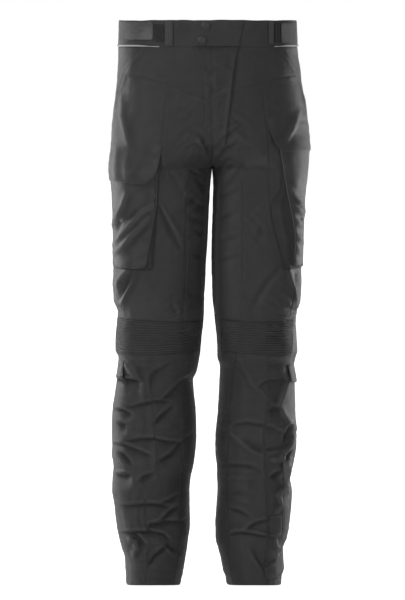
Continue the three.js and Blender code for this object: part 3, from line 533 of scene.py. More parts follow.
def cloth(leg, turn, z, lift=0.0):
    """A point of the cloth, moved out by a lift, and its outward direction. Both legs meet in the middle."""
    normal = outwards(leg, turn, z)
    point = bare_cloth(leg, turn, z)
    moved = point + normal * (fold_depth(point, normal) + slack(point) + lift)
    if abs(point.x) < 0.01:
        moved.x = 0
    return moved, normal


def closer_at_ends(share):
    """Moves the lines of a strip of cells towards its two seams."""
    return share - 0.55 * math.sin(2 * math.pi * share) / (2 * math.pi)


def sheet(columns, rows, place):
    """A sheet of cells: place(column, row) gives each corner's point and outward direction.

    The sheet keeps the directions, and its UV map is the cloth laid flat, in metres.
    """
    bm = bmesh.new()
    bmesh.ops.create_grid(bm, x_segments=columns, y_segments=rows, size=0.5)
    out = bm.verts.layers.float_vector.new("outwards")
    corners = {}
    for vertex in bm.verts:
        column = round((vertex.co.x + 0.5) * columns)
        row = round((0.5 - vertex.co.y) * rows)
        point, vertex[out] = place(column, row)
        vertex.co = point * MM
        corners[column, row] = vertex
    flat = {}
    for row in range(rows + 1):
        for column in range(columns + 1):
            corner = corners[column, row]
            u = v = 0.0
            if column:
                left = corners[column - 1, row]
                u = flat[left][0] + (corner.co - left.co).length
            if row:
                above = corners[column, row - 1]
                v = flat[above][1] - (corner.co - above.co).length
            flat[corner] = (u, v)
    uv = bm.loops.layers.uv.new("UVMap")
    for face in bm.faces:
        face.smooth = True
        for loop in face.loops:
            loop[uv].uv = flat[loop.vert]
    bm.normal_update()
    if sum(face.normal.dot(face.verts[0][out]) for face in bm.faces) < 0:
        bmesh.ops.reverse_faces(bm, faces=bm.faces)
    return bm


def sewn_edges(bm, set_back=0.08, puckers=0.8):
    """Sinks a panel's edges into their seams, raises the allowance beside them and puckers the cloth.

    For the material each corner keeps its distance from the nearest edge, and how far it lies sunk among its
    neighbours, in millimetres, which the material turns into painted shade in the troughs of folds and a
    painted highlight on their ridges. Where the seams meet at the crotch they are pressed flat and hardly
    show.
    """
    out = bm.verts.layers.float_vector["outwards"]
    from_seam = bm.verts.layers.float.new("from_seam")
    painted_fold_shade = bm.verts.layers.float.new("painted_fold_shade")
    rims = [edge for edge in bm.edges if edge.is_boundary]
    spots = []
    for edge in rims:
        edge.smooth = False
        start, end = (vertex.co.copy() for vertex in edge.verts)
        parts = max(1, round((end - start).length / MM))
        spots += [start.lerp(end, n / parts) for n in range(parts + 1)]
    tree = kdtree.KDTree(len(spots))
    for n, spot in enumerate(spots):
        tree.insert(spot, n)
    tree.balance()
    moves = {}
    for vertex in bm.verts:
        distance = tree.find(vertex.co)[2] / MM
        from_crotch = (vertex.co / MM - SEAMS_MEET).length
        shows = smooth(from_crotch, 50, 75)
        vertex[from_seam] = min(distance + 3 * (1 - shows), 30.0)
        groove = -0.28 * math.exp(-((distance / 1.4) ** 2))
        allowance = 0.22 * smooth(distance, 1, 3) * (1 - smooth(distance, 7, 11))
        pucker = puckers * noise.noise(vertex.co / (9 * MM)) * math.exp(-distance / 9)
        moves[vertex] = vertex[out] * (shows * (groove + allowance) + pucker) * MM
        if vertex.is_boundary:
            middle = sum((face.calc_center_median() for face in vertex.link_faces), Vector())
            inwards = middle / len(vertex.link_faces) - vertex.co
            moves[vertex] += inwards.normalized() * set_back * MM
        if abs(vertex.co.x) < 0.01 * MM:
            moves[vertex].x = 0
    for vertex, move in moves.items():
        vertex.co += move
    # Painted shade and highlight of the folds: how far each corner lies sunk among its neighbours, spread
    # over three rounds so that the painted lines are wider
    painted_fold_shades = {}
    for vertex in bm.verts:
        around = [edge.other_vert(vertex).co for edge in vertex.link_edges]
        sunk = (sum(around, Vector()) / len(around) - vertex.co).dot(vertex[out]) / MM
        painted_fold_shades[vertex] = sunk * smooth(vertex[from_seam], 1, 6)
    for _ in range(3):
        spread = {}
        for vertex in bm.verts:
            around = [painted_fold_shades[edge.other_vert(vertex)] for edge in vertex.link_edges]
            spread[vertex] = (painted_fold_shades[vertex] + sum(around) / len(around)) / 2
        painted_fold_shades = spread
    for vertex in bm.verts:
        vertex[painted_fold_shade] = painted_fold_shades[vertex]


def mesh_object(name, bm, materials):
    mesh = bpy.data.meshes.new(name)
    bm.to_mesh(mesh)
    bm.free()
    for material in materials:
        mesh.materials.append(material)
    return add_object(name, mesh)


def make_piece(name, node, bm, materials, thickness=None):
    """The object that takes a node's place, with a wall of cloth behind its faces where one is given."""
    piece = mesh_object(name, bm, materials)
    if thickness:
        wall = piece.modifiers.new("wall", "SOLIDIFY")
        wall.thickness = thickness * MM
        wall.offset = -1
        wall.material_offset = len(materials) - 1
    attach(piece, "root")
    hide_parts(node)
    return piece


def cut_size(bm):
    """Width and length of the cut in metres, and its area."""
    uv = bm.loops.layers.uv["UVMap"]
    spots = [loop[uv].uv.copy() for face in bm.faces for loop in face.loops]
    width = max(spot.x for spot in spots) - min(spot.x for spot in spots)
    length = max(spot.y for spot in spots) - min(spot.y for spot in spots)
    return (width, length), min(width * length, sum(face.calc_area() for face in bm.faces))


def linear(shade):
    """An sRGB hex value as the linear colour that Blender's sockets take."""
    parts = [int(shade[n : n + 2], 16) / 255 for n in (0, 2, 4)]
    return (*(p / 12.92 if p <= 0.04045 else ((p + 0.055) / 1.055) ** 2.4 for p in parts), 1)


def add_node(material, kind, inputs=None, output=0, **settings):
    """An output of a new node. Each input is a value or the output of another node."""
    made = material.node_tree.nodes.new("ShaderNode" + kind)
    for name, value in settings.items():
        setattr(made, name, value)
    for name, value in (inputs or {}).items():
        if isinstance(value, bpy.types.NodeSocket):
            material.node_tree.links.new(value, made.inputs[name])
        else:
            made.inputs[name].default_value = value
    return made.outputs[output]


def new_material(name, shade, roughness, values=None):
    """A material with one shader, where values gives constants for more of the shader's sockets."""
    material = bpy.data.materials.new(name)
    material.use_nodes = True
    material.diffuse_color = linear(shade)
    shader = material.node_tree.nodes["Principled BSDF"]
    for socket, value in {"Base Color": linear(shade), "Roughness": roughness, **(values or {})}.items():
        shader.inputs[socket].default_value = value
    return material


def connect(material, outputs):
    """Links outputs to the named sockets of a material's shader."""
    shader = material.node_tree.nodes["Principled BSDF"]
    for socket, output in outputs.items():
        material.node_tree.links.new(output, shader.inputs[socket])


# Sockets of the Mix node, whose three kinds of value share their names
NUMBER_A, NUMBER_B, COLOUR_A, COLOUR_B, COLOUR_OUT = 2, 3, 6, 7, 2
ONE_WAVE = 2 * math.pi / 20  # scale at which a wave texture repeats once in each unit


def tinted(material, shade, tints):
    """A shade mixed in turn with other shades, each by its own share."""
    colour = linear(shade)
    for share, tint in tints:
        inputs = {"Factor": share, COLOUR_A: colour, COLOUR_B: linear(tint)}
        colour = add_node(material, "Mix", inputs, COLOUR_OUT, data_type="RGBA")
    return colour


# Without an edge of its own, a cloth gets painted shade: a darker line in the groove along each seam
def woven(name, shade, worn, yarn, relief, roughness, sheen, edge=("0c0c0d", 0.14)):
    """A woven cloth: yarns over and under each other, blotches of wear, and an edge of another shade.

    It has painted shade in the troughs of its folds and a painted highlight on their ridges.
    """
    material = new_material(
        name, shade, roughness, {"Sheen Weight": sheen, "Sheen Roughness": 0.35, "Specular IOR Level": 0.5}
    )
    uv, where = (add_node(material, "TexCoord", output=kind) for kind in ("UV", "Object"))
    density = 1 / (yarn * MM)
    yarns = add_node(material, "Mapping", {"Vector": uv, "Scale": (density, density, 1)})
    warp, weft = (
        add_node(material, "TexWave", {"Vector": yarns, "Scale": ONE_WAVE}, "Fac", bands_direction=way)
        for way in "XY"
    )
    over = add_node(material, "TexChecker", {"Vector": yarns, "Scale": 1.0}, "Fac")
    weave = add_node(material, "Mix", {"Factor": over, NUMBER_A: warp, NUMBER_B: weft})
    blotches, specks = (
        add_node(material, "TexNoise", {"Vector": where, "Scale": scale, "Detail": detail}, "Fac")
        for scale, detail in ((22.0, 5.0), (300.0, 2.0))
    )
    patchy, speckled = (
        add_node(material, "MapRange", {"Value": value, "From Min": 0.3, "From Max": 0.7, "To Max": most})
        for value, most in ((blotches, 0.5), (specks, 0.4))
    )
    tints = [(add_node(material, "Math", {0: patchy, 1: speckled}, operation="ADD"), worn)]
    sunk, from_seam = (
        add_node(material, "Attribute", output="Fac", attribute_name=layer)
        for layer in ("painted_fold_shade", "from_seam")
    )
    # Painted shade darkens the troughs of the folds and a painted highlight pales their ridges, then the
    # edge takes its tint
    for value, start, end, most, tint in (
        (sunk, 0.01, 0.2, 0.85, "070707"),
        (sunk, -0.015, -0.3, 0.35, "484848"),
        (from_seam, 1.8, 0.2, edge[1], edge[0]),
    ):
        inputs = {"Value": value, "From Min": start, "From Max": end, "To Max": most}
        tints.append((add_node(material, "MapRange", inputs), tint))
    rough = add_node(
        material, "MapRange", {"Value": blotches, "To Min": roughness - 0.08, "To Max": roughness + 0.08}
    )
    bumps = add_node(material, "Bump", {"Height": weave, "Distance": relief * MM, "Strength": 0.7})
    connect(material, {"Base Color": tinted(material, shade, tints), "Roughness": rough, "Normal": bumps})
    return material


# Shell: plain-woven textured polyamide, dull charcoal, with a faint bloom at a grazing view. Its yarns are
# about 0.6 mm apart, which is too fine for the render, so they are drawn at 1.5 mm.
shell = woven("woven_polyamide_shell", "1b1b1b", "292929", 1.5, 0.35, 0.48, 0.12)
# Stretch inset: a finer and duller knit-backed weave, drawn at 1.2 mm for the same reason
stretch = woven("stretch_weave", "1b1b1b", "282828", 1.2, 0.25, 0.55, 0.1)
# Lining: open polyester mesh, seen only inside the waist and the hems. Its round holes, 2.5 mm apart, show
# as darker pits.
lining = new_material("knitted_mesh_lining", "1f1f20", 0.85, {"Sheen Weight": 0.2})
on_lining = add_node(lining, "TexCoord", output="Object")
holes = add_node(
    lining, "TexVoronoi", {"Vector": on_lining, "Scale": 1 / (2.5 * MM), "Randomness": 0.3}, "Distance"
)
net = add_node(lining, "MapRange", {"Value": holes, "From Min": 0.2, "From Max": 0.4})
raised = add_node(lining, "Bump", {"Height": net, "Distance": 0.4 * MM})
connect(lining, {"Base Color": tinted(lining, "121213", [(net, "3c3c3e")]), "Normal": raised})

PANEL_CLOTH = {"inner_leg": stretch, "inner_calf": stretch}

strip_names = list(STRIPS)
strip_starts = [sum(list(STRIPS.values())[:n]) for n in range(len(STRIPS) + 1)]
row_starts = [sum(row["steps"] for row in ROWS[:n]) for n in range(len(ROWS))]


def seam_turns(leg, z):
    """Turns of the lines between the strips of one leg at a height."""
    lines = seam_line[leg]
    front = end_turn(leg, z, True)
    inner = turn_of(leg, z, lines["inner"](z))
    return [
        front,
        mix(front, inner, lines["inner_share"](z)),
        inner,
        turn_of(leg, z, lines["thigh"](z)),
        turn_of(leg, z, lines["pocket"](z)),
        lines["side"](z) * math.pi,
        end_turn(leg, z, False),
    ]


def on_row(leg, turn, z, rise, front_lift):
    """Height of a row at a turn, with the slope of its seam."""
    flat = max(0.0, math.sin(turn)) ** 0.6
    across = abs(bare_cloth(leg, turn, z).x)
    return z + rise * (across - outer_edge[leg](z) / 2) * flat + front_lift * flat * flat


def row_at(leg, row):
    """Height, rise and front lift of a row of cells."""
    n = max(n for n, start in enumerate(row_starts) if row >= start)
    above, below = ROWS[n], ROWS[min(n + 1, len(ROWS) - 1)]
    share = closer_at_ends((row - row_starts[n]) / max(above["steps"], 1))
    return tuple(mix(above[key], below[key], share) for key in ("z", "rise_" + leg, "front_lift"))


def leg_cloth(leg):
    turns_of_row = {}

    def place(column, row):
        z, rise, front_lift = row_at(leg, row)
        if row not in turns_of_row:
            turns_of_row[row] = seam_turns(leg, z)
        turns = turns_of_row[row]
        n = min(max(n for n, start in enumerate(strip_starts) if column >= start), len(STRIPS) - 1)
        share = closer_at_ends((column - strip_starts[n]) / (strip_starts[n + 1] - strip_starts[n]))
        turn = mix(turns[n], turns[n + 1], share)
        height = on_row(leg, turn, z, rise, front_lift)
        middle = column in (0, strip_starts[-1])
        if middle:
            turn = end_turn(leg, height, column == 0)
        point, normal = cloth(leg, turn, height)
        if middle and z >= CROTCH:
            point.x = normal.x = 0
        return point, normal

    return sheet(strip_starts[-1], row_starts[-1], place)


carriers = []
for leg in SIDE:
    whole = leg_cloth(leg)
    block = whole.faces.layers.int.new("block")
    columns = strip_starts[-1]
    for face in whole.faces:
        column, row = face.index % columns, row_starts[-1] - 1 - face.index // columns
        strip = max(n for n, start in enumerate(strip_starts) if column >= start)
        band = max(n for n, start in enumerate(row_starts) if row >= start)
        face[block] = band * len(STRIPS) + strip
    panels = sorted({row[strip] for row in LAYOUT for strip in STRIPS} - {"knee_panel"})
    for panel in panels:
        panel_sheet = whole.copy()
        block = panel_sheet.faces.layers.int["block"]
        others = [
            face
            for face in panel_sheet.faces
            if LAYOUT[face[block] // len(STRIPS)][strip_names[face[block] % len(STRIPS)]] != panel
        ]
        bmesh.ops.delete(panel_sheet, geom=others, context="FACES")
        sewn_edges(panel_sheet)
        carriers.append(BVHTree.FromBMesh(panel_sheet))
        flat, area = cut_size(panel_sheet)
        cloths = [PANEL_CLOTH.get(panel, shell), lining]
        piece = make_piece(f"cloth_{panel}_{leg}", f"{panel}_{leg}", panel_sheet, cloths, WALL)

# What lies on the panels is seated on them: a ray from outside finds the cloth that carries it
CAST_FROM = 25


def seat(leg, turn, z, lift):
    """A point on the carrying cloth, moved out by a lift, and its outward direction."""
    point, normal = cloth(leg, turn, z)
    start = (point + normal * CAST_FROM) * MM
    hits = [tree.ray_cast(start, -normal, (CAST_FROM + 4) * MM)[0] for tree in carriers]
    found = [spot for spot in hits if spot]
    if found:
        point = min(found, key=lambda spot: (spot - start).length) / MM
    return point + normal * lift, normal


def spot_at(x, z):
    """Leg, turn and height of a place seen from the front, by its signed distance from the middle."""
    leg = "R" if x < 0 else "L"
    return leg, turn_of(leg, z, abs(x)), z


# Knee panels
# Stretch panel over each knee, sewn across into fourteen soft ribs so that the knee can bend. The ribs die
# out in the side seams.
KNEE_RIBS = 14
RIB_CELLS = 8
RIB_HEIGHT = 1.35
# The same stretch weave, a shade paler and almost without bloom
ribbed = woven("ribbed_stretch_weave", "1e1e1e", "2e2e2e", 1.2, 0.25, 0.6, 0.05)
knee_strips = [strip_names.index(name) for name in ("inner", "thigh", "pocket")]
knee_columns = [n for strip in knee_strips for n in range(strip_starts[strip], strip_starts[strip + 1])]


def knee_cloth(leg):
    def place(column, row):
        share = row / (KNEE_RIBS * RIB_CELLS)
        above, below = row_named["knee_top"], row_named["knee_bottom"]
        z, rise = (mix(above[key], below[key], share) for key in ("z", "rise_" + leg))
        turns = seam_turns(leg, z)
        cell = column + knee_columns[0]
        n = min(max(n for n in knee_strips if cell >= strip_starts[n]), knee_strips[-1])
        across = (cell - strip_starts[n]) / (strip_starts[n + 1] - strip_starts[n])
        turn = mix(turns[n], turns[n + 1], closer_at_ends(across))
        end = min(column, len(knee_columns) - column)
        rib = abs(math.sin(math.pi * share * KNEE_RIBS)) ** 0.8 * smooth(end, 0, 3)
        height = on_row(leg, turn, z, rise, 0)
        uneven = 1 + 0.35 * noise.noise(Vector((turn * 4, share * KNEE_RIBS * 0.8, SIDE[leg])))
        return cloth(leg, turn, height, (RIB_HEIGHT * rib - 0.4) * uneven)

    return sheet(len(knee_columns), KNEE_RIBS * RIB_CELLS, place)


for leg in SIDE:
    knee_sheet = knee_cloth(leg)
    sewn_edges(knee_sheet)
    carriers.append(BVHTree.FromBMesh(knee_sheet))
    flat, _ = cut_size(knee_sheet)
    piece = make_piece(f"knee_ribs_{leg}", f"knee_panel_{leg}", knee_sheet, [ribbed, lining], WALL)

# Stitching
# Bonded polyester thread, a shade lighter than the cloth, sewn in lock stitches of about 3.3 mm beside the
# seams. Only the length between two needle holes shows, and its ends dip into the cloth.
THREAD, STITCH, GAP = 0.5, 2.5, 0.8
thread = new_material("bonded_polyester_thread", "333334", 0.5, {"Sheen Weight": 0.1})
on_thread = add_node(thread, "TexCoord", output="Object")
# The plies twist round each other every 0.7 mm
plies_wave = {"Vector": on_thread, "Scale": ONE_WAVE / (0.7 * MM)}
plies = add_node(thread, "TexWave", plies_wave, "Fac", bands_direction="DIAGONAL")
twist = add_node(thread, "Bump", {"Height": plies, "Distance": 0.1 * MM})
connect(thread, {"Base Color": tinted(thread, "262627", [(plies, "404041")]), "Normal": twist})


def sew(name, rows):
    """Stitches along rows of places on the cloth, each a list of (leg, turn, z) a few millimetres apart."""
    curve_data = bpy.data.curves.new(name, "CURVE")
    curve_data.dimensions = "3D"
    curve_data.bevel_depth = THREAD / 2 * MM
    curve_data.bevel_resolution = 1
    curve_data.use_fill_caps = True
    for row in rows:
        seats = [seat(*place, 0.12) for place in row]
        reached = [0.0]
        for (before, _), (after, _) in zip(seats, seats[1:]):
            reached.append(reached[-1] + (after - before).length)
        stops = [n * (STITCH + GAP) for n in range(int((reached[-1] - STITCH) / (STITCH + GAP)) + 1)]
        n = 0
        for stop in stops:
            stitch = curve_data.splines.new("POLY")
            stitch.points.add(3)
            for knot, (along, sunk) in enumerate(((0, 0.35), (0.25, 0), (0.75, 0), (1, 0.35))):
                distance = stop + along * STITCH
                while n < len(reached) - 2 and reached[n + 1] < distance:
                    n += 1
                share = (distance - reached[n]) / max(reached[n + 1] - reached[n], 1e-6)
                point = seats[n][0].lerp(seats[n + 1][0], share) - seats[n][1] * sunk
                stitch.points[knot].co = (*(point * MM), 1)
    drawn = add_object(name, curve_data)
    bpy.context.view_layer.update()
    mesh = bpy.data.meshes.new_from_object(drawn.evaluated_get(bpy.context.evaluated_depsgraph_get()))
    bpy.data.objects.remove(drawn)
    bpy.data.curves.remove(curve_data)
    mesh.name = name
    mesh.materials.clear()
    mesh.materials.append(thread)
    stitches = add_object(name, mesh)
    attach(stitches, "root")
    return stitches


def span(start, end, step=3.0):
    """Numbers from start to end, about a step apart."""
    parts = max(1, round(abs(end - start) / step))
    return [mix(start, end, n / parts) for n in range(parts + 1)]


def beside(leg, turn, z, off):
    """Turn of a place that lies a number of millimetres further round the leg."""
    reach = 0.01
    radius = (bare_cloth(leg, turn + reach, z) - bare_cloth(leg, turn - reach, z)).length / (2 * reach)
    return turn + off / radius


# Rows down the seams: the line between two strips, the rows of the panels it runs between, and how far the
# stitches lie from it, towards the front where above zero
SEAM_ROWS = table(
    ("line", "top", "bottom", "off"),
    [
        (2, "crotch", "knee_top", -2.2),
        (3, "yoke", "knee_top", 2.2),
        (3, "yoke", "knee_top", 6.5),
        (4, "waist", "pocket_end", 2.2),
        (4, "waist", "pocket_end", 6.5),
        (4, "knee_top", "knee_bottom", -2.2),
        (5, "waist", "hem", -2.2),
        (3, "knee_bottom", "hem", 2.2),
        (2, "knee_bottom", "hem", -2.2),
        (6, "waist", "crotch", 2.4),
    ],
)
# Rows along the cross seams: the row of the panels, the lines they run between and how far above it they lie
CROSS_ROWS = table(
    ("row", "first", "last", "above"),
    [
        ("yoke", 0, 4, -2.2),
        ("yoke", 0, 4, -6.5),
        ("pocket_end", 4, 5, -2.2),
        ("knee_top", 1, 5, 2.4),
        ("knee_bottom", 1, 5, -2.4),
        ("hem", 0, 6, 13),
    ],
)
for leg in SIDE:
    rows = []
    hem, knee = row_named["hem"], row_named["knee_bottom"]
    for seam in SEAM_ROWS:
        spots = []
        for flat_z in span(row_named[seam["top"]]["z"] - 1.5, row_named[seam["bottom"]]["z"] + 1.5):
            line_turn = seam_turns(leg, flat_z)[seam["line"]]
            share = (flat_z - hem["z"]) / (knee["z"] - hem["z"])
            z = on_row(leg, line_turn, flat_z, 0, hem["front_lift"] * max(0.0, 1 - share))
            spots.append((leg, beside(leg, line_turn, z, seam["off"]), z))
        rows.append(spots)
    for seam in CROSS_ROWS:
        row = row_named[seam["row"]]
        turns = seam_turns(leg, row["z"])
        spots = []
        for turn in span(turns[seam["first"]] - 0.02, turns[seam["last"]] + 0.02, 0.03):
            z = on_row(leg, turn, row["z"], row["rise_" + leg], row["front_lift"])
            spots.append((leg, turn, z + seam["above"]))
        rows.append(spots)
    sew(f"panel_stitches_{leg}", rows)

# Waistband
# Two layers of shell cloth with a stiffener, in a front each side and a back. The right front runs over the
# left one to the fly's closure and ends on a slant.
BAND_TOP, BAND_BOTTOM = 27, -23.8
BAND_PROUD = 0.5  # the band laps over the panels by its lower edge
BAND_ROWS = 16
OVERLAP_COLUMNS, BACK_COLUMNS = 24, 40
SIDE_COLUMNS = {"R": 30, "L": 34}  # from the overlap or the underlap round to the side seam
OVERLAP_END = (59, 50)  # distance of the slanted end from the middle, at the top and the bottom
OVERLAP_RISE = (-52, -30)  # where the overlap climbs over the band below
UNDERLAP_END = 14
SIDE_TURN = {leg: seam_line[leg]["side"](BAND_BOTTOM) * math.pi for leg in SIDE}
# The shell cloth again, with painted shade along the edges where the band is sewn to the panels
band_cloth = woven(
    "woven_polyamide_waistband", "1b1b1b", "292929", 1.5, 0.35, 0.5, 0.1, edge=("0a0a0a", 0.35)
)


def band_lift(x):
    return (WALL + 0.5) * smooth(x, *OVERLAP_RISE)


def band_spot(leg, turn, share, lift=0.0):
    z = mix(BAND_TOP, BAND_BOTTOM, share)
    crown = 0.5 * (1 - abs(2 * share - 1) ** 4)
    point, normal = cloth(leg, turn, z, lift + crown + BAND_PROUD)
    point.z += 1.6 * noise.noise(point / 38) * (1 - share) ** 2
    return point, normal


def right_front(column, row):
    share = row / BAND_ROWS
    z = mix(BAND_TOP, BAND_BOTTOM, share)
    if column < OVERLAP_COLUMNS:
        x = mix(mix(*OVERLAP_END, share), OVERLAP_RISE[0], column / OVERLAP_COLUMNS)
        leg, turn, _ = spot_at(x, z)
        return band_spot(leg, turn, share, band_lift(x))
    start = turn_of("R", z, -OVERLAP_RISE[0])
    return band_spot("R", mix(start, SIDE_TURN["R"], (column - OVERLAP_COLUMNS) / SIDE_COLUMNS["R"]), share)


def left_front(column, row):
    share = row / BAND_ROWS
    start = turn_of("L", mix(BAND_TOP, BAND_BOTTOM, share), UNDERLAP_END)
    return band_spot("L", mix(start, SIDE_TURN["L"], column / SIDE_COLUMNS["L"]), share)


def back_band(column, row):
    leg = "R" if column <= BACK_COLUMNS else "L"
    part = (column if leg == "R" else 2 * BACK_COLUMNS - column) / BACK_COLUMNS
    return band_spot(leg, mix(SIDE_TURN[leg], -math.pi / 2, part), row / BAND_ROWS)


def plain_edge(bm, hidden):
    """Leaves an edge the colour of the cloth where hidden, from 0 to 1, says so."""
    from_seam = bm.verts.layers.float["from_seam"]
    for vertex in bm.verts:
        vertex[from_seam] += 3 * hidden(vertex.co / MM)


BANDS = table(
    ("name", "columns", "place"),
    [
        ("waistband_front_R", OVERLAP_COLUMNS + SIDE_COLUMNS["R"], right_front),
        ("waistband_front_L", SIDE_COLUMNS["L"], left_front),
        ("waistband_back", 2 * BACK_COLUMNS, back_band),
    ],
)
for band in BANDS:
    name = band["name"]
    band_sheet = sheet(band["columns"], BAND_ROWS, band["place"])
    sewn_edges(band_sheet)
    plain_edge(band_sheet, lambda spot: 1 - smooth(spot.x, 44, 47) * (spot.x < 62) * (spot.y < 0) * 0.8)
    carriers.append(BVHTree.FromBMesh(band_sheet))
    flat, _ = cut_size(band_sheet)
    piece = make_piece("sewn_" + name, name, band_sheet, [band_cloth, lining], 2)

# Fly cover
# A double layer of shell cloth over the zip. Seen from the front, it is sewn down along its left edge with
# two rows of stitches and free on its right edge.
FLY = table(
    ("z", "left", "right"),
    [
        (-23.6, -35, 49.6), (-50, -25, 44), (-78, -16.8, 39.5), (-108, -15, 36), (-140, -14.6, 32.4),
        (-175, -14.5, 28), (-209, -14.5, 24),
    ],
)
FLY_ROWS, FLY_COLUMNS = 60, 22
TRIM = 1.4
# The same shell cloth, with a painted shadow in the slit along the cover's free edge
fly_cloth = woven("woven_polyamide_fly", "1b1b1b", "292929", 1.5, 0.35, 0.48, 0.12, edge=("040404", 0.8))
fly_edge = {side: curve(FLY, side) for side in ("left", "right")}


def fly_place(column, row):
    z = mix(FLY[0]["z"], FLY[-1]["z"], row / FLY_ROWS)
    share = column / FLY_COLUMNS
    x = mix(fly_edge["left"](z), fly_edge["right"](z), share)
    slant = 0.35 * math.sin((x * 0.9 - z) / 6.5 + 2 * noise.noise(Vector((x, 0, z)) / 25))
    slant *= smooth(share, 0.05, 0.3) * (1 - smooth(share, 0.8, 0.95)) * smooth(-z, 40, 90)
    free = 2.2 * smooth(share, 0.78, 1) * smooth(-z, 30, 60)
    return seat(*spot_at(x, z), 0.6 + TRIM + slant + free)


fly_sheet = sheet(FLY_COLUMNS, FLY_ROWS, fly_place)
sewn_edges(fly_sheet, set_back=0, puckers=0.4)
plain_edge(fly_sheet, lambda spot: 1 - smooth(spot.x - fly_edge["left"](spot.z), 4, 7))
carriers.append(BVHTree.FromBMesh(fly_sheet))
flat, area = cut_size(fly_sheet)
fly_cover = make_piece("sewn_fly_cover", "fly_cover", fly_sheet, [fly_cloth], TRIM)

band_rows = []
for z in (BAND_TOP - 3, BAND_BOTTOM + 3):
    for leg in SIDE:
        turns = span(end_turn(leg, z, True), end_turn(leg, z, False), 0.03)
        band_rows.append([(leg, turn, z) for turn in turns])
fly_rows = []
for off in (2.2, 7):
    heights = span(-28, -196 - off)
    row = [(fly_edge["left"](z) + off, z) for z in heights]
    row += [(x, -196 - off + 0.4 * x) for x in span(row[-1][0] + 3, 21 - off)]
    fly_rows.append([spot_at(x, z) for x, z in row])
sew("waistband_stitches", band_rows)
sew("fly_stitches", fly_rows)

# Press studs
# Two pressed-steel snap caps with a dark lacquer, riveted through the end of the waistband, one above the
# other. Each is turned from a profile with a low dome and a rolled rim.
STUDS = table(("name", "x", "z"), [("press_stud_upper", -11.5, 15.8), ("press_stud_lower", -19, -11.5)])
STUD_PROFILE = (
    (0, 2.5), (3.2, 2.4), (6, 2.05), (7.6, 1.6), (8.3, 1.1),
    (9.2, 0.9), (9.5, 0.4), (9.1, 0), (0, 0),
)


def painted_metal(name, shade, rubbed):
    """Matt lacquer on pressed metal: a little mottled, with fine dents and a rubbed, shinier bloom."""
    material = new_material(name, shade, 0.5, {"Metallic": 0.1})
    where = add_node(material, "TexCoord", output="Object")
    mottle, dents = (
        add_node(material, "TexNoise", {"Vector": where, "Scale": scale, "Detail": 3.0}, "Fac")
        for scale in (260.0, 900.0)
    )
    dull = add_node(material, "MapRange", {"Value": mottle, "To Min": 0.62, "To Max": 0.48})
    relief = add_node(material, "Bump", {"Height": dents, "Distance": 0.1 * MM})
    colour = tinted(material, shade, [(mottle, rubbed)])
    connect(material, {"Base Color": colour, "Roughness": dull, "Normal": relief})
    return material


# Dark lacquer, dull enough that only the rims catch the light
snap_metal = painted_metal("lacquered_snap_steel", "252525", "323232")


def turned(profile, spot, normal):
    """A piece turned from a profile of (radius, height), set on a point along its outward direction."""
    bm = bmesh.new()
    line = [bm.verts.new((radius * MM, 0, height * MM)) for radius, height in profile]
    edges = [bm.edges.new(pair) for pair in zip(line, line[1:])]
    bmesh.ops.spin(
        bm, geom=line + edges, axis=(0, 0, 1), cent=(0, 0, 0), angle=2 * math.pi, steps=40, use_merge=True
    )
    bmesh.ops.remove_doubles(bm, verts=bm.verts, dist=1e-6)
    bmesh.ops.recalc_face_normals(bm, faces=bm.faces)
    for face in bm.faces:
        face.smooth = True
    place = Matrix.Translation(spot * MM) @ normal.to_track_quat("Z", "Y").to_matrix().to_4x4()
    bmesh.ops.transform(bm, matrix=place, verts=bm.verts)
    return bm


for stud in STUDS:
    leg, turn, _ = spot_at(stud["x"], stud["z"])
    share = (BAND_TOP - stud["z"]) / (BAND_TOP - BAND_BOTTOM)
    spot, normal = band_spot(leg, turn, share, band_lift(stud["x"]) + 0.2)
    name = stud["name"]
    make_piece("snap_" + name, name, turned(STUD_PROFILE, spot, normal), [snap_metal])

# Straps, tabs and patches
# Flat pieces sewn on the panels: hook-and-loop tabs and webbing of the waist adjusters with their keepers, a
# strap end at the outside of each calf, and a reflective strip and two plain tabs on the left shin. Each
# lies on the cloth that carries it.
PATCHES = table(
    ("name", "finish", "start", "end", "top", "bottom", "lift_top", "lift_bottom", "corner"),
    [
        ("waist_tab_R", "tab", -172, -111, 25, -11, 0, 0, 6),
        ("waist_tape_R", "tape", -108.5, -91, 19, -14, 0, 0, 1),
        ("waist_keeper_R", "keeper", -89, -74, 26, -22.4, 0.8, 0.8, 1),
        ("waist_keeper_L", "keeper", 107, 116, 25, -18, 0.5, 0.5, 1),
        ("waist_tape_L", "tape", 117.5, 128.5, 21, -15, 0, 0, 1),
        ("waist_tab_L", "tab", 130, 158, 22, -17, 0.2, 0.2, 5),
        ("calf_strap_R", "shell", -181, -168, -627, -672, -0.5, 6, 2),
        ("calf_strap_L", "shell", 146, 158, -636, -673, 0, 6, 2),
        ("side_strip_L", "reflective", 138, 149, -808, -968, -0.4, -0.4, 2),
        ("hem_tab_L", "hem tab", 111, 135, -930, -966, 0.6, 0.6, 5),
        ("hem_patch_L", "hem tab", 102, 126, -1030, -1055, 0.5, 0.5, 4),
    ],
)
PATCH_CELL = 2.5
STITCH_INSET = 2.2
# Hook-and-loop pile: lighter and fuzzy, with the loops brushed flat here and there
loop_pile = woven(
    "hook_and_loop_pile", "303030", "787878", 2.2, 0.8, 0.85, 0.4, edge=("0a0a0a", 0.75)
)
# Webbing: tightly woven polyester, almost black
webbing = woven("polyester_webbing", "0f0f0f", "181818", 2.0, 0.5, 0.7, 0.03)
# Bonded film: a dull grey retroreflective strip whose beads give it a fine grain
bonded_film = woven("bonded_reflective_film", "48494a", "5c5d5e", 1.2, 0.15, 0.5, 0.0)
# Keepers: shell cloth folded over, a few shades paler than the band
keeper_cloth = woven("folded_polyamide_keeper", "2b2b2b", "434343", 1.5, 0.35, 0.5, 0.2)
PATCH_CLOTH = {
    "tab": loop_pile,
    "tape": webbing,
    "keeper": keeper_cloth,
    "shell": shell,
    "hem tab": shell,
    "reflective": bonded_film,
}


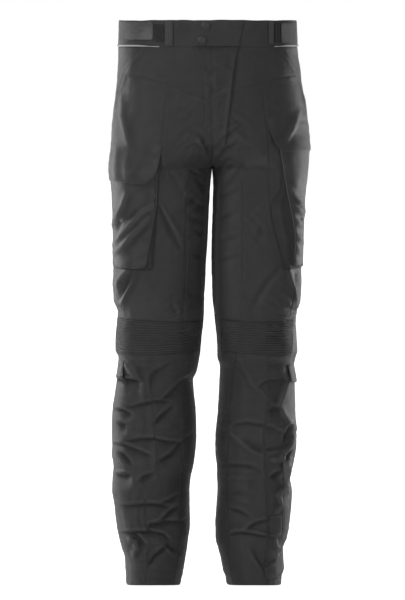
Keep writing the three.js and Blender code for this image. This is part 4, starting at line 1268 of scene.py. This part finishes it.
def rounded(a, b, half_a, half_b, radius):
    """Draws a point near a corner of a rectangle in to its round."""
    over_a, over_b = abs(a) - (half_a - radius), abs(b) - (half_b - radius)
    if min(over_a, over_b) > 0:
        reach = max(over_a, over_b) / math.hypot(over_a, over_b)
        a = math.copysign(half_a - radius + over_a * reach, a)
        b = math.copysign(half_b - radius + over_b * reach, b)
    return a, b


patch_rows = []
for patch in PATCHES:
    name, finish, corner = patch["name"], patch["finish"], patch["corner"]
    half_a, half_b = abs(patch["end"] - patch["start"]) / 2, (patch["top"] - patch["bottom"]) / 2
    middle_x, middle_z = (patch["start"] + patch["end"]) / 2, (patch["top"] + patch["bottom"]) / 2
    columns, rows = (max(3, round(2 * half / PATCH_CELL)) for half in (half_a, half_b))
    wall = 1.0 if finish == "reflective" else TRIM

    def place(column, row):
        a, b = mix(-half_a, half_a, column / columns), mix(half_b, -half_b, row / rows)
        a, b = rounded(a, b, half_a, half_b, corner)
        edge = min(half_a - abs(a), half_b - abs(b))
        lift = mix(patch["lift_top"], patch["lift_bottom"], (half_b - b) / (2 * half_b))
        lift += 0.6 + wall - 0.4 * (1 - smooth(edge, 0, 2))
        return seat(*spot_at(middle_x + a, middle_z + b), lift)

    patch_sheet = sheet(columns, rows, place)
    sewn_edges(patch_sheet, set_back=0, puckers=0.25)
    carriers.append(BVHTree.FromBMesh(patch_sheet))
    flat, area = cut_size(patch_sheet)
    piece = make_piece("sewn_" + name, name, patch_sheet, [PATCH_CLOTH[finish]], wall)
    in_a, in_b = half_a - STITCH_INSET, half_b - STITCH_INSET
    if min(in_a, in_b) > STITCH_INSET:
        corners = ((-in_a, in_b), (in_a, in_b), (in_a, -in_b), (-in_a, -in_b), (-in_a, in_b))
        spots = []
        for (a1, b1), (a2, b2) in zip(corners, corners[1:]):
            for share in span(0, 1, 3.0 / (abs(a2 - a1) + abs(b2 - b1)))[1 if spots else 0 :]:
                a, b = rounded(
                    mix(a1, a2, share), mix(b1, b2, share), in_a, in_b, max(corner - STITCH_INSET, 0.5)
                )
                spots.append(spot_at(middle_x + a, middle_z + b))
        patch_rows.append(spots)
sew("patch_stitches", patch_rows)

# Waist piping
# A narrow pale reflective tape, folded over and let into the lower edge of the waistband at each side, so
# that it shows as a light line from the named distance off the middle round to the side seam.
PIPING = table(("name", "leg", "front"), [("waist_piping_R", "R", 100), ("waist_piping_L", "L", 118)])
PIPING_WIDTH = 3.4
PIPING_COLUMNS, PIPING_ROWS = 40, 4
# Folded film: smooth and pale grey, the lightest thing at the waist
piping_film = woven(
    "folded_reflective_piping", "a9abad", "c6c8ca", 1.2, 0.15, 0.4, 0.0, edge=("8a8c8e", 0.3)
)
for piping in PIPING:
    name, leg = piping["name"], piping["leg"]

    def place(column, row):
        wide = PIPING_WIDTH * mix(0.12, 1, smooth(column, 0, 13))
        z = BAND_BOTTOM + 0.5 + wide * (1 - row / PIPING_ROWS)
        turn = mix(turn_of(leg, z, piping["front"]), SIDE_TURN[leg], column / PIPING_COLUMNS)
        return seat(leg, turn, z, 1.2 + 1.1 * math.sin(math.pi * row / PIPING_ROWS))

    piping_sheet = sheet(PIPING_COLUMNS, PIPING_ROWS, place)
    make_piece("sewn_" + name, name, piping_sheet, [piping_film], 1.1)

# Cargo pockets
# A bellows pocket on the outside of each thigh: a shaped face, a folded gusset round its three sewn sides,
# a flap over its mouth and a small eyelet. The right one stands further off the leg.
POCKET = {
    "R": table(
        ("z", "foot", "edge", "height"),
        [
            (-262, 104, 105, 3.6), (-300, 104, 105, 3.6), (-319, 104.5, 105.5, 4.2),
            (-345, 106, 109.5, 6.5), (-381, 108.5, 115.5, 9.5), (-400, 110, 118.5, 9.5),
            (-433, 112, 123.5, 8.5), (-447, 112.5, 125, 7),
        ],
    ),
    "L": table(
        ("z", "foot", "edge", "height"),
        [
            (-217, 125, 128, 2.6), (-255, 131, 135, 3.6), (-294, 130, 141, 4.4), (-312, 118, 143.5, 6),
            (-326, 111.5, 145.5, 7.5), (-348, 114, 148.5, 8.5), (-381, 122, 152.5, 8.5),
            (-410, 129, 153.5, 7.5), (-433, 134, 154, 6.5), (-447, 136, 154.5, 5.5),
        ],
    ),
}
POCKET_BACK = -0.25 * math.pi  # turn of the back edge, behind the side seam
FLAP = {
    "R": table(
        ("z", "front", "lift"),
        [
            (-204, 95, -0.5), (-216, 96.5, 0.9), (-228, 99, 2.2), (-240, 101.5, 3.8), (-255, 106, 5.4),
            (-265, 111, 6.2), (-273, 119, 6.6), (-281, 131, 6.8),
        ],
    ),
    "L": table(
        ("z", "front", "lift"),
        [
            (-152, 106, -0.5), (-168, 107, 0.9), (-182, 110, 1.8), (-195, 113, 2.8), (-210, 121, 4),
            (-223, 133, 4.6),
        ],
    ),
}
FLAP_BACK = -0.27 * math.pi
SIDE_HEIGHT, FLAP_SIDE_HEIGHT = 2.8, 4.6
FLAP_CURL = {"R": 6, "L": 2}  # how far the flap's front edge stands away
PLEAT = 6  # how far the bellows fold in under the face
GUSSET_CELLS, GUSSET_SIDE, GUSSET_FOOT = 14, 30, 36  # cells across it, down a side and along the foot
FACE_COLUMNS, FACE_ROWS = 44, 60
FLAP_COLUMNS, FLAP_ROWS = 44, 26
POCKET_CORNER = 12
EYELET = {"R": (-170, -354), "L": (166, -354)}  # its place seen from the front
EYELET_PROFILE = ((2.2, 0), (2.2, 1), (3.2, 1.5), (4.2, 1), (4.4, 0), (2.2, 0))
# Worn grey brass, which makes a small light ring on each pocket
eyelet_metal = painted_metal("blackened_eyelet_brass", "6a6a6b", "8c8c8d")
# Shell cloth turned over at its free edges, which are paler
turned_shell = woven(
    "turned_polyamide_shell", "1b1b1b", "292929", 1.5, 0.35, 0.46, 0.12, edge=("4e4e4e", 0.34)
)
# The left face's folded edges are paler still: a painted highlight
face_shell = woven(
    "polyamide_shell_painted_edge_highlight", "1b1b1b", "292929", 1.5, 0.35, 0.46, 0.12, edge=("767676", 0.45)
)
# Bellows of a thinner and duller weave of the same yarn, a shade darker all over and near black along its
# edges: painted shadow of the pleat under the face
bellows_cloth = woven(
    "thin_polyamide_bellows", "191919", "252525", 1.2, 0.25, 0.65, 0.03, edge=("040404", 0.8)
)


def stand_off(height, least, across):
    """The pocket stands off the leg in front and lies flatter round the side."""
    return mix(height, min(height, least), smooth(across, 0.1, 0.6))


def edge_row(leg, front_edge, top, bottom, back, inset):
    """A row of stitches down the front edge of a pocket's face or flap and along its lower edge."""
    down = [(leg, beside(leg, front_edge(z), z, -inset), z) for z in span(top, bottom + inset)]
    along = span(down[-1][1], back + 0.04, 0.03)[1:]
    return down + [(leg, turn, bottom + inset) for turn in along]


for leg in SIDE:
    line = {name: curve(POCKET[leg], name) for name in ("foot", "edge", "height")}
    top, bottom = POCKET[leg][0]["z"], POCKET[leg][-1]["z"]

    def face_start(z, set_in=0.0):
        """Turn of the face's front edge, which rounds into the bottom one."""
        low = max(0.0, bottom + POCKET_CORNER - z)
        round_in = POCKET_CORNER - math.sqrt(max(0.0, POCKET_CORNER**2 - low**2))
        return turn_of(leg, z, line["edge"](z) + round_in + set_in)

    def place(column, row):
        across, down = column / FACE_COLUMNS, row / FACE_ROWS
        z = mix(top, bottom, down)
        turn = mix(face_start(z), POCKET_BACK, across)
        rolled = 0.9 * math.exp(-min(across * 30, (1 - down) * 40, (1 - across) * 30))
        return cloth(leg, turn, z, stand_off(line["height"](z), SIDE_HEIGHT, across) - rolled)

    face_sheet = sheet(FACE_COLUMNS, FACE_ROWS, place)
    sewn_edges(face_sheet, set_back=0, puckers=0.6)
    carriers.append(BVHTree.FromBMesh(face_sheet))
    flat, area = cut_size(face_sheet)
    face_cloth = turned_shell if leg == "R" else face_shell
    name = f"pocket_face_{leg}"
    face_piece = make_piece("sewn_" + name, name, face_sheet, [face_cloth], TRIM)
    eyelet = turned(EYELET_PROFILE, *seat(*spot_at(*EYELET[leg]), 0.1))
    make_piece(f"pressed_eyelet_{leg}", f"pocket_stud_{leg}", eyelet, [eyelet_metal])
    sew(f"pocket_stitches_{leg}", [edge_row(leg, face_start, top - 45, bottom, POCKET_BACK, 3)])
    # The gusset and the flap are seated on the leg, not on the face
    carriers.pop()

    # The gusset's line round the face: foot turn and height on the leg, head turn and height under the face,
    # the face's share across, and the way in under the face as a turn and a height, for the pleat
    border = []
    set_in = 2.2
    for n in range(GUSSET_SIDE + 1):
        z = mix(top - 2, bottom + set_in, n / GUSSET_SIDE)
        border.append((turn_of(leg, z, line["foot"](z)), z, face_start(z, set_in), z, 0, -0.011, 0))
    foot_end, _, head_end, *_ = border[-1]
    for n in range(1, GUSSET_FOOT):
        share = n / GUSSET_FOOT
        turns = (mix(foot_end, POCKET_BACK, share), mix(head_end, POCKET_BACK + 0.03, share))
        border.append((turns[0], bottom - 3, turns[1], bottom + set_in, share, 0, 1))
    for n in range(GUSSET_SIDE + 1):
        z = mix(bottom + set_in, top - 2, n / GUSSET_SIDE)
        border.append((POCKET_BACK, z, POCKET_BACK + 0.03, z, 1, 0.011, 0))

    def place(column, row):
        foot_turn, foot_z, head_turn, head_z, across, *_ = border[column]
        near = border[max(0, column - 4) : column + 5]
        in_turn, in_z = (PLEAT * sum(spot[n] for spot in near) / len(near) for n in (5, 6))
        share = row / GUSSET_CELLS
        head = stand_off(line["height"](head_z), SIDE_HEIGHT, across) - TRIM - 0.2
        deep = math.sin(math.pi * share)
        turn = mix(head_turn, foot_turn, share) + in_turn * deep
        z = mix(head_z, foot_z, share) + in_z * deep
        tuck = 0.4 * max(head - 2, 0) * math.exp(-(((share - 0.74) / 0.1) ** 2))
        return seat(leg, turn, z, mix(head, 1, share) + tuck)

    gusset_sheet = sheet(len(border) - 1, GUSSET_CELLS, place)
    sewn_edges(gusset_sheet, set_back=0, puckers=0.3)
    (length, _), area = cut_size(gusset_sheet)
    name = f"pocket_gusset_{leg}"
    piece = make_piece("sewn_" + name, name, gusset_sheet, [bellows_cloth], 0.8)
    flat = (length, area / length)

    flap_line = {name: curve(FLAP[leg], name) for name in ("front", "lift")}
    flap_top, flap_bottom = FLAP[leg][0]["z"], FLAP[leg][-1]["z"]

    def flap_start(z):
        return turn_of(leg, z, flap_line["front"](z))

    def place(column, row):
        z = mix(flap_top, flap_bottom, row / FLAP_ROWS)
        across = column / FLAP_COLUMNS
        turn = mix(flap_start(z), FLAP_BACK, across)
        curl = FLAP_CURL[leg] * smooth(flap_top - z, 20, 50) * (1 - smooth(across, 0, 0.16))
        return seat(leg, turn, z, stand_off(flap_line["lift"](z), FLAP_SIDE_HEIGHT, across) + curl)

    flap_sheet = sheet(FLAP_COLUMNS, FLAP_ROWS, place)
    sewn_edges(flap_sheet, set_back=0, puckers=0.5)
    plain_edge(flap_sheet, lambda spot: smooth(spot.z, flap_top - 22, flap_top - 12))
    carriers.append(BVHTree.FromBMesh(flap_sheet))
    flat, area = cut_size(flap_sheet)
    name = f"pocket_flap_{leg}"
    piece = make_piece("sewn_" + name, name, flap_sheet, [turned_shell], TRIM)
    # The flap's wall is thin where it is sewn in
    top_rows = piece.vertex_groups.new(name="sewn_in")
    for vertex in piece.data.vertices:
        below = flap_top - vertex.co.z / MM
        top_rows.add([vertex.index], mix(0.15, 1, smooth(below, 0, 22)), "REPLACE")
    piece.modifiers["wall"].vertex_group = top_rows.name
    flap_rows = [
        edge_row(leg, flap_start, flap_top - 22, flap_bottom, FLAP_BACK, inset) for inset in (2.4, 6.5)
    ]
    sew(f"flap_stitches_{leg}", flap_rows)

# Floor and light
# A plain white floor under a white surround, so that no line shows where they meet. A low light stands
# behind each side for the bright edges, and two stand high in front and give the folds their shade.
FLOOR = -1.082
# Matt white paint, which the camera sees evenly lit. It glows only a little on the cloth, as more light from
# below would fill the folds.
studio_white = new_material("white_studio_paint", "f2f2f2", 0.9, {"Emission Color": (1, 1, 1, 1)})
seen = add_node(studio_white, "LightPath", output="Is Camera Ray")
glow = add_node(studio_white, "MapRange", {"Value": seen, "To Min": 0.1, "To Max": 1.0})
connect(studio_white, {"Emission Strength": glow})
bm = bmesh.new()
bmesh.ops.create_grid(bm, x_segments=1, y_segments=1, size=14)
bmesh.ops.translate(bm, verts=bm.verts, vec=(0, 0, FLOOR))
floor = mesh_object("studio_floor", bm, [studio_white])

LIGHTS = table(
    ("name", "place", "aim", "width", "height", "power"),
    [
        ("left_softbox", (-2.2, 2.0, -0.45), (0, 0, -0.75), 0.9, 1.2, 28),
        ("right_softbox", (2.1, 2.0, -0.55), (0, 0, -0.8), 0.9, 1.0, 21),
        ("key_softbox", (-3.4, -3.2, 2.6), (0, 0, -0.7), 0.6, 0.6, 94),
        ("front_softbox", (0.6, -4.6, 1.9), (0, 0, -0.7), 1.6, 1.6, 40),
    ],
)
for light in LIGHTS:
    data = bpy.data.lights.new(light["name"], "AREA")
    data.shape = "RECTANGLE"
    data.size, data.size_y = light["width"], light["height"]
    data.energy = light["power"]
    lamp = add_object(light["name"], data)
    lamp.location = light["place"]
    lamp.rotation_euler = (Vector(light["aim"]) - lamp.location).to_track_quat("-Z", "Y").to_euler()
    lamp.visible_camera = False

# The surround is white where it is looked at, and lights the cloth at 0.27 from in front and 0.4 from behind
studio = bpy.data.worlds.new("studio")
studio.use_nodes = True
way = add_node(studio, "TexCoord", output="Generated")
backwards = add_node(studio, "SeparateXYZ", {"Vector": way}, "Y")
power = add_node(studio, "MapRange", {"Value": backwards, "From Max": 0.5, "To Min": 0.27, "To Max": 0.4})
seen = add_node(studio, "LightPath", output="Is Camera Ray")
bright = add_node(studio, "Math", {0: power, 1: seen}, operation="MAXIMUM")
background = studio.node_tree.nodes["Background"]
background.inputs["Color"].default_value = (1, 1, 1, 1)
studio.node_tree.links.new(bright, background.inputs["Strength"])
bpy.context.scene.world = studio
bpy.context.scene.view_settings.view_transform = "Standard"
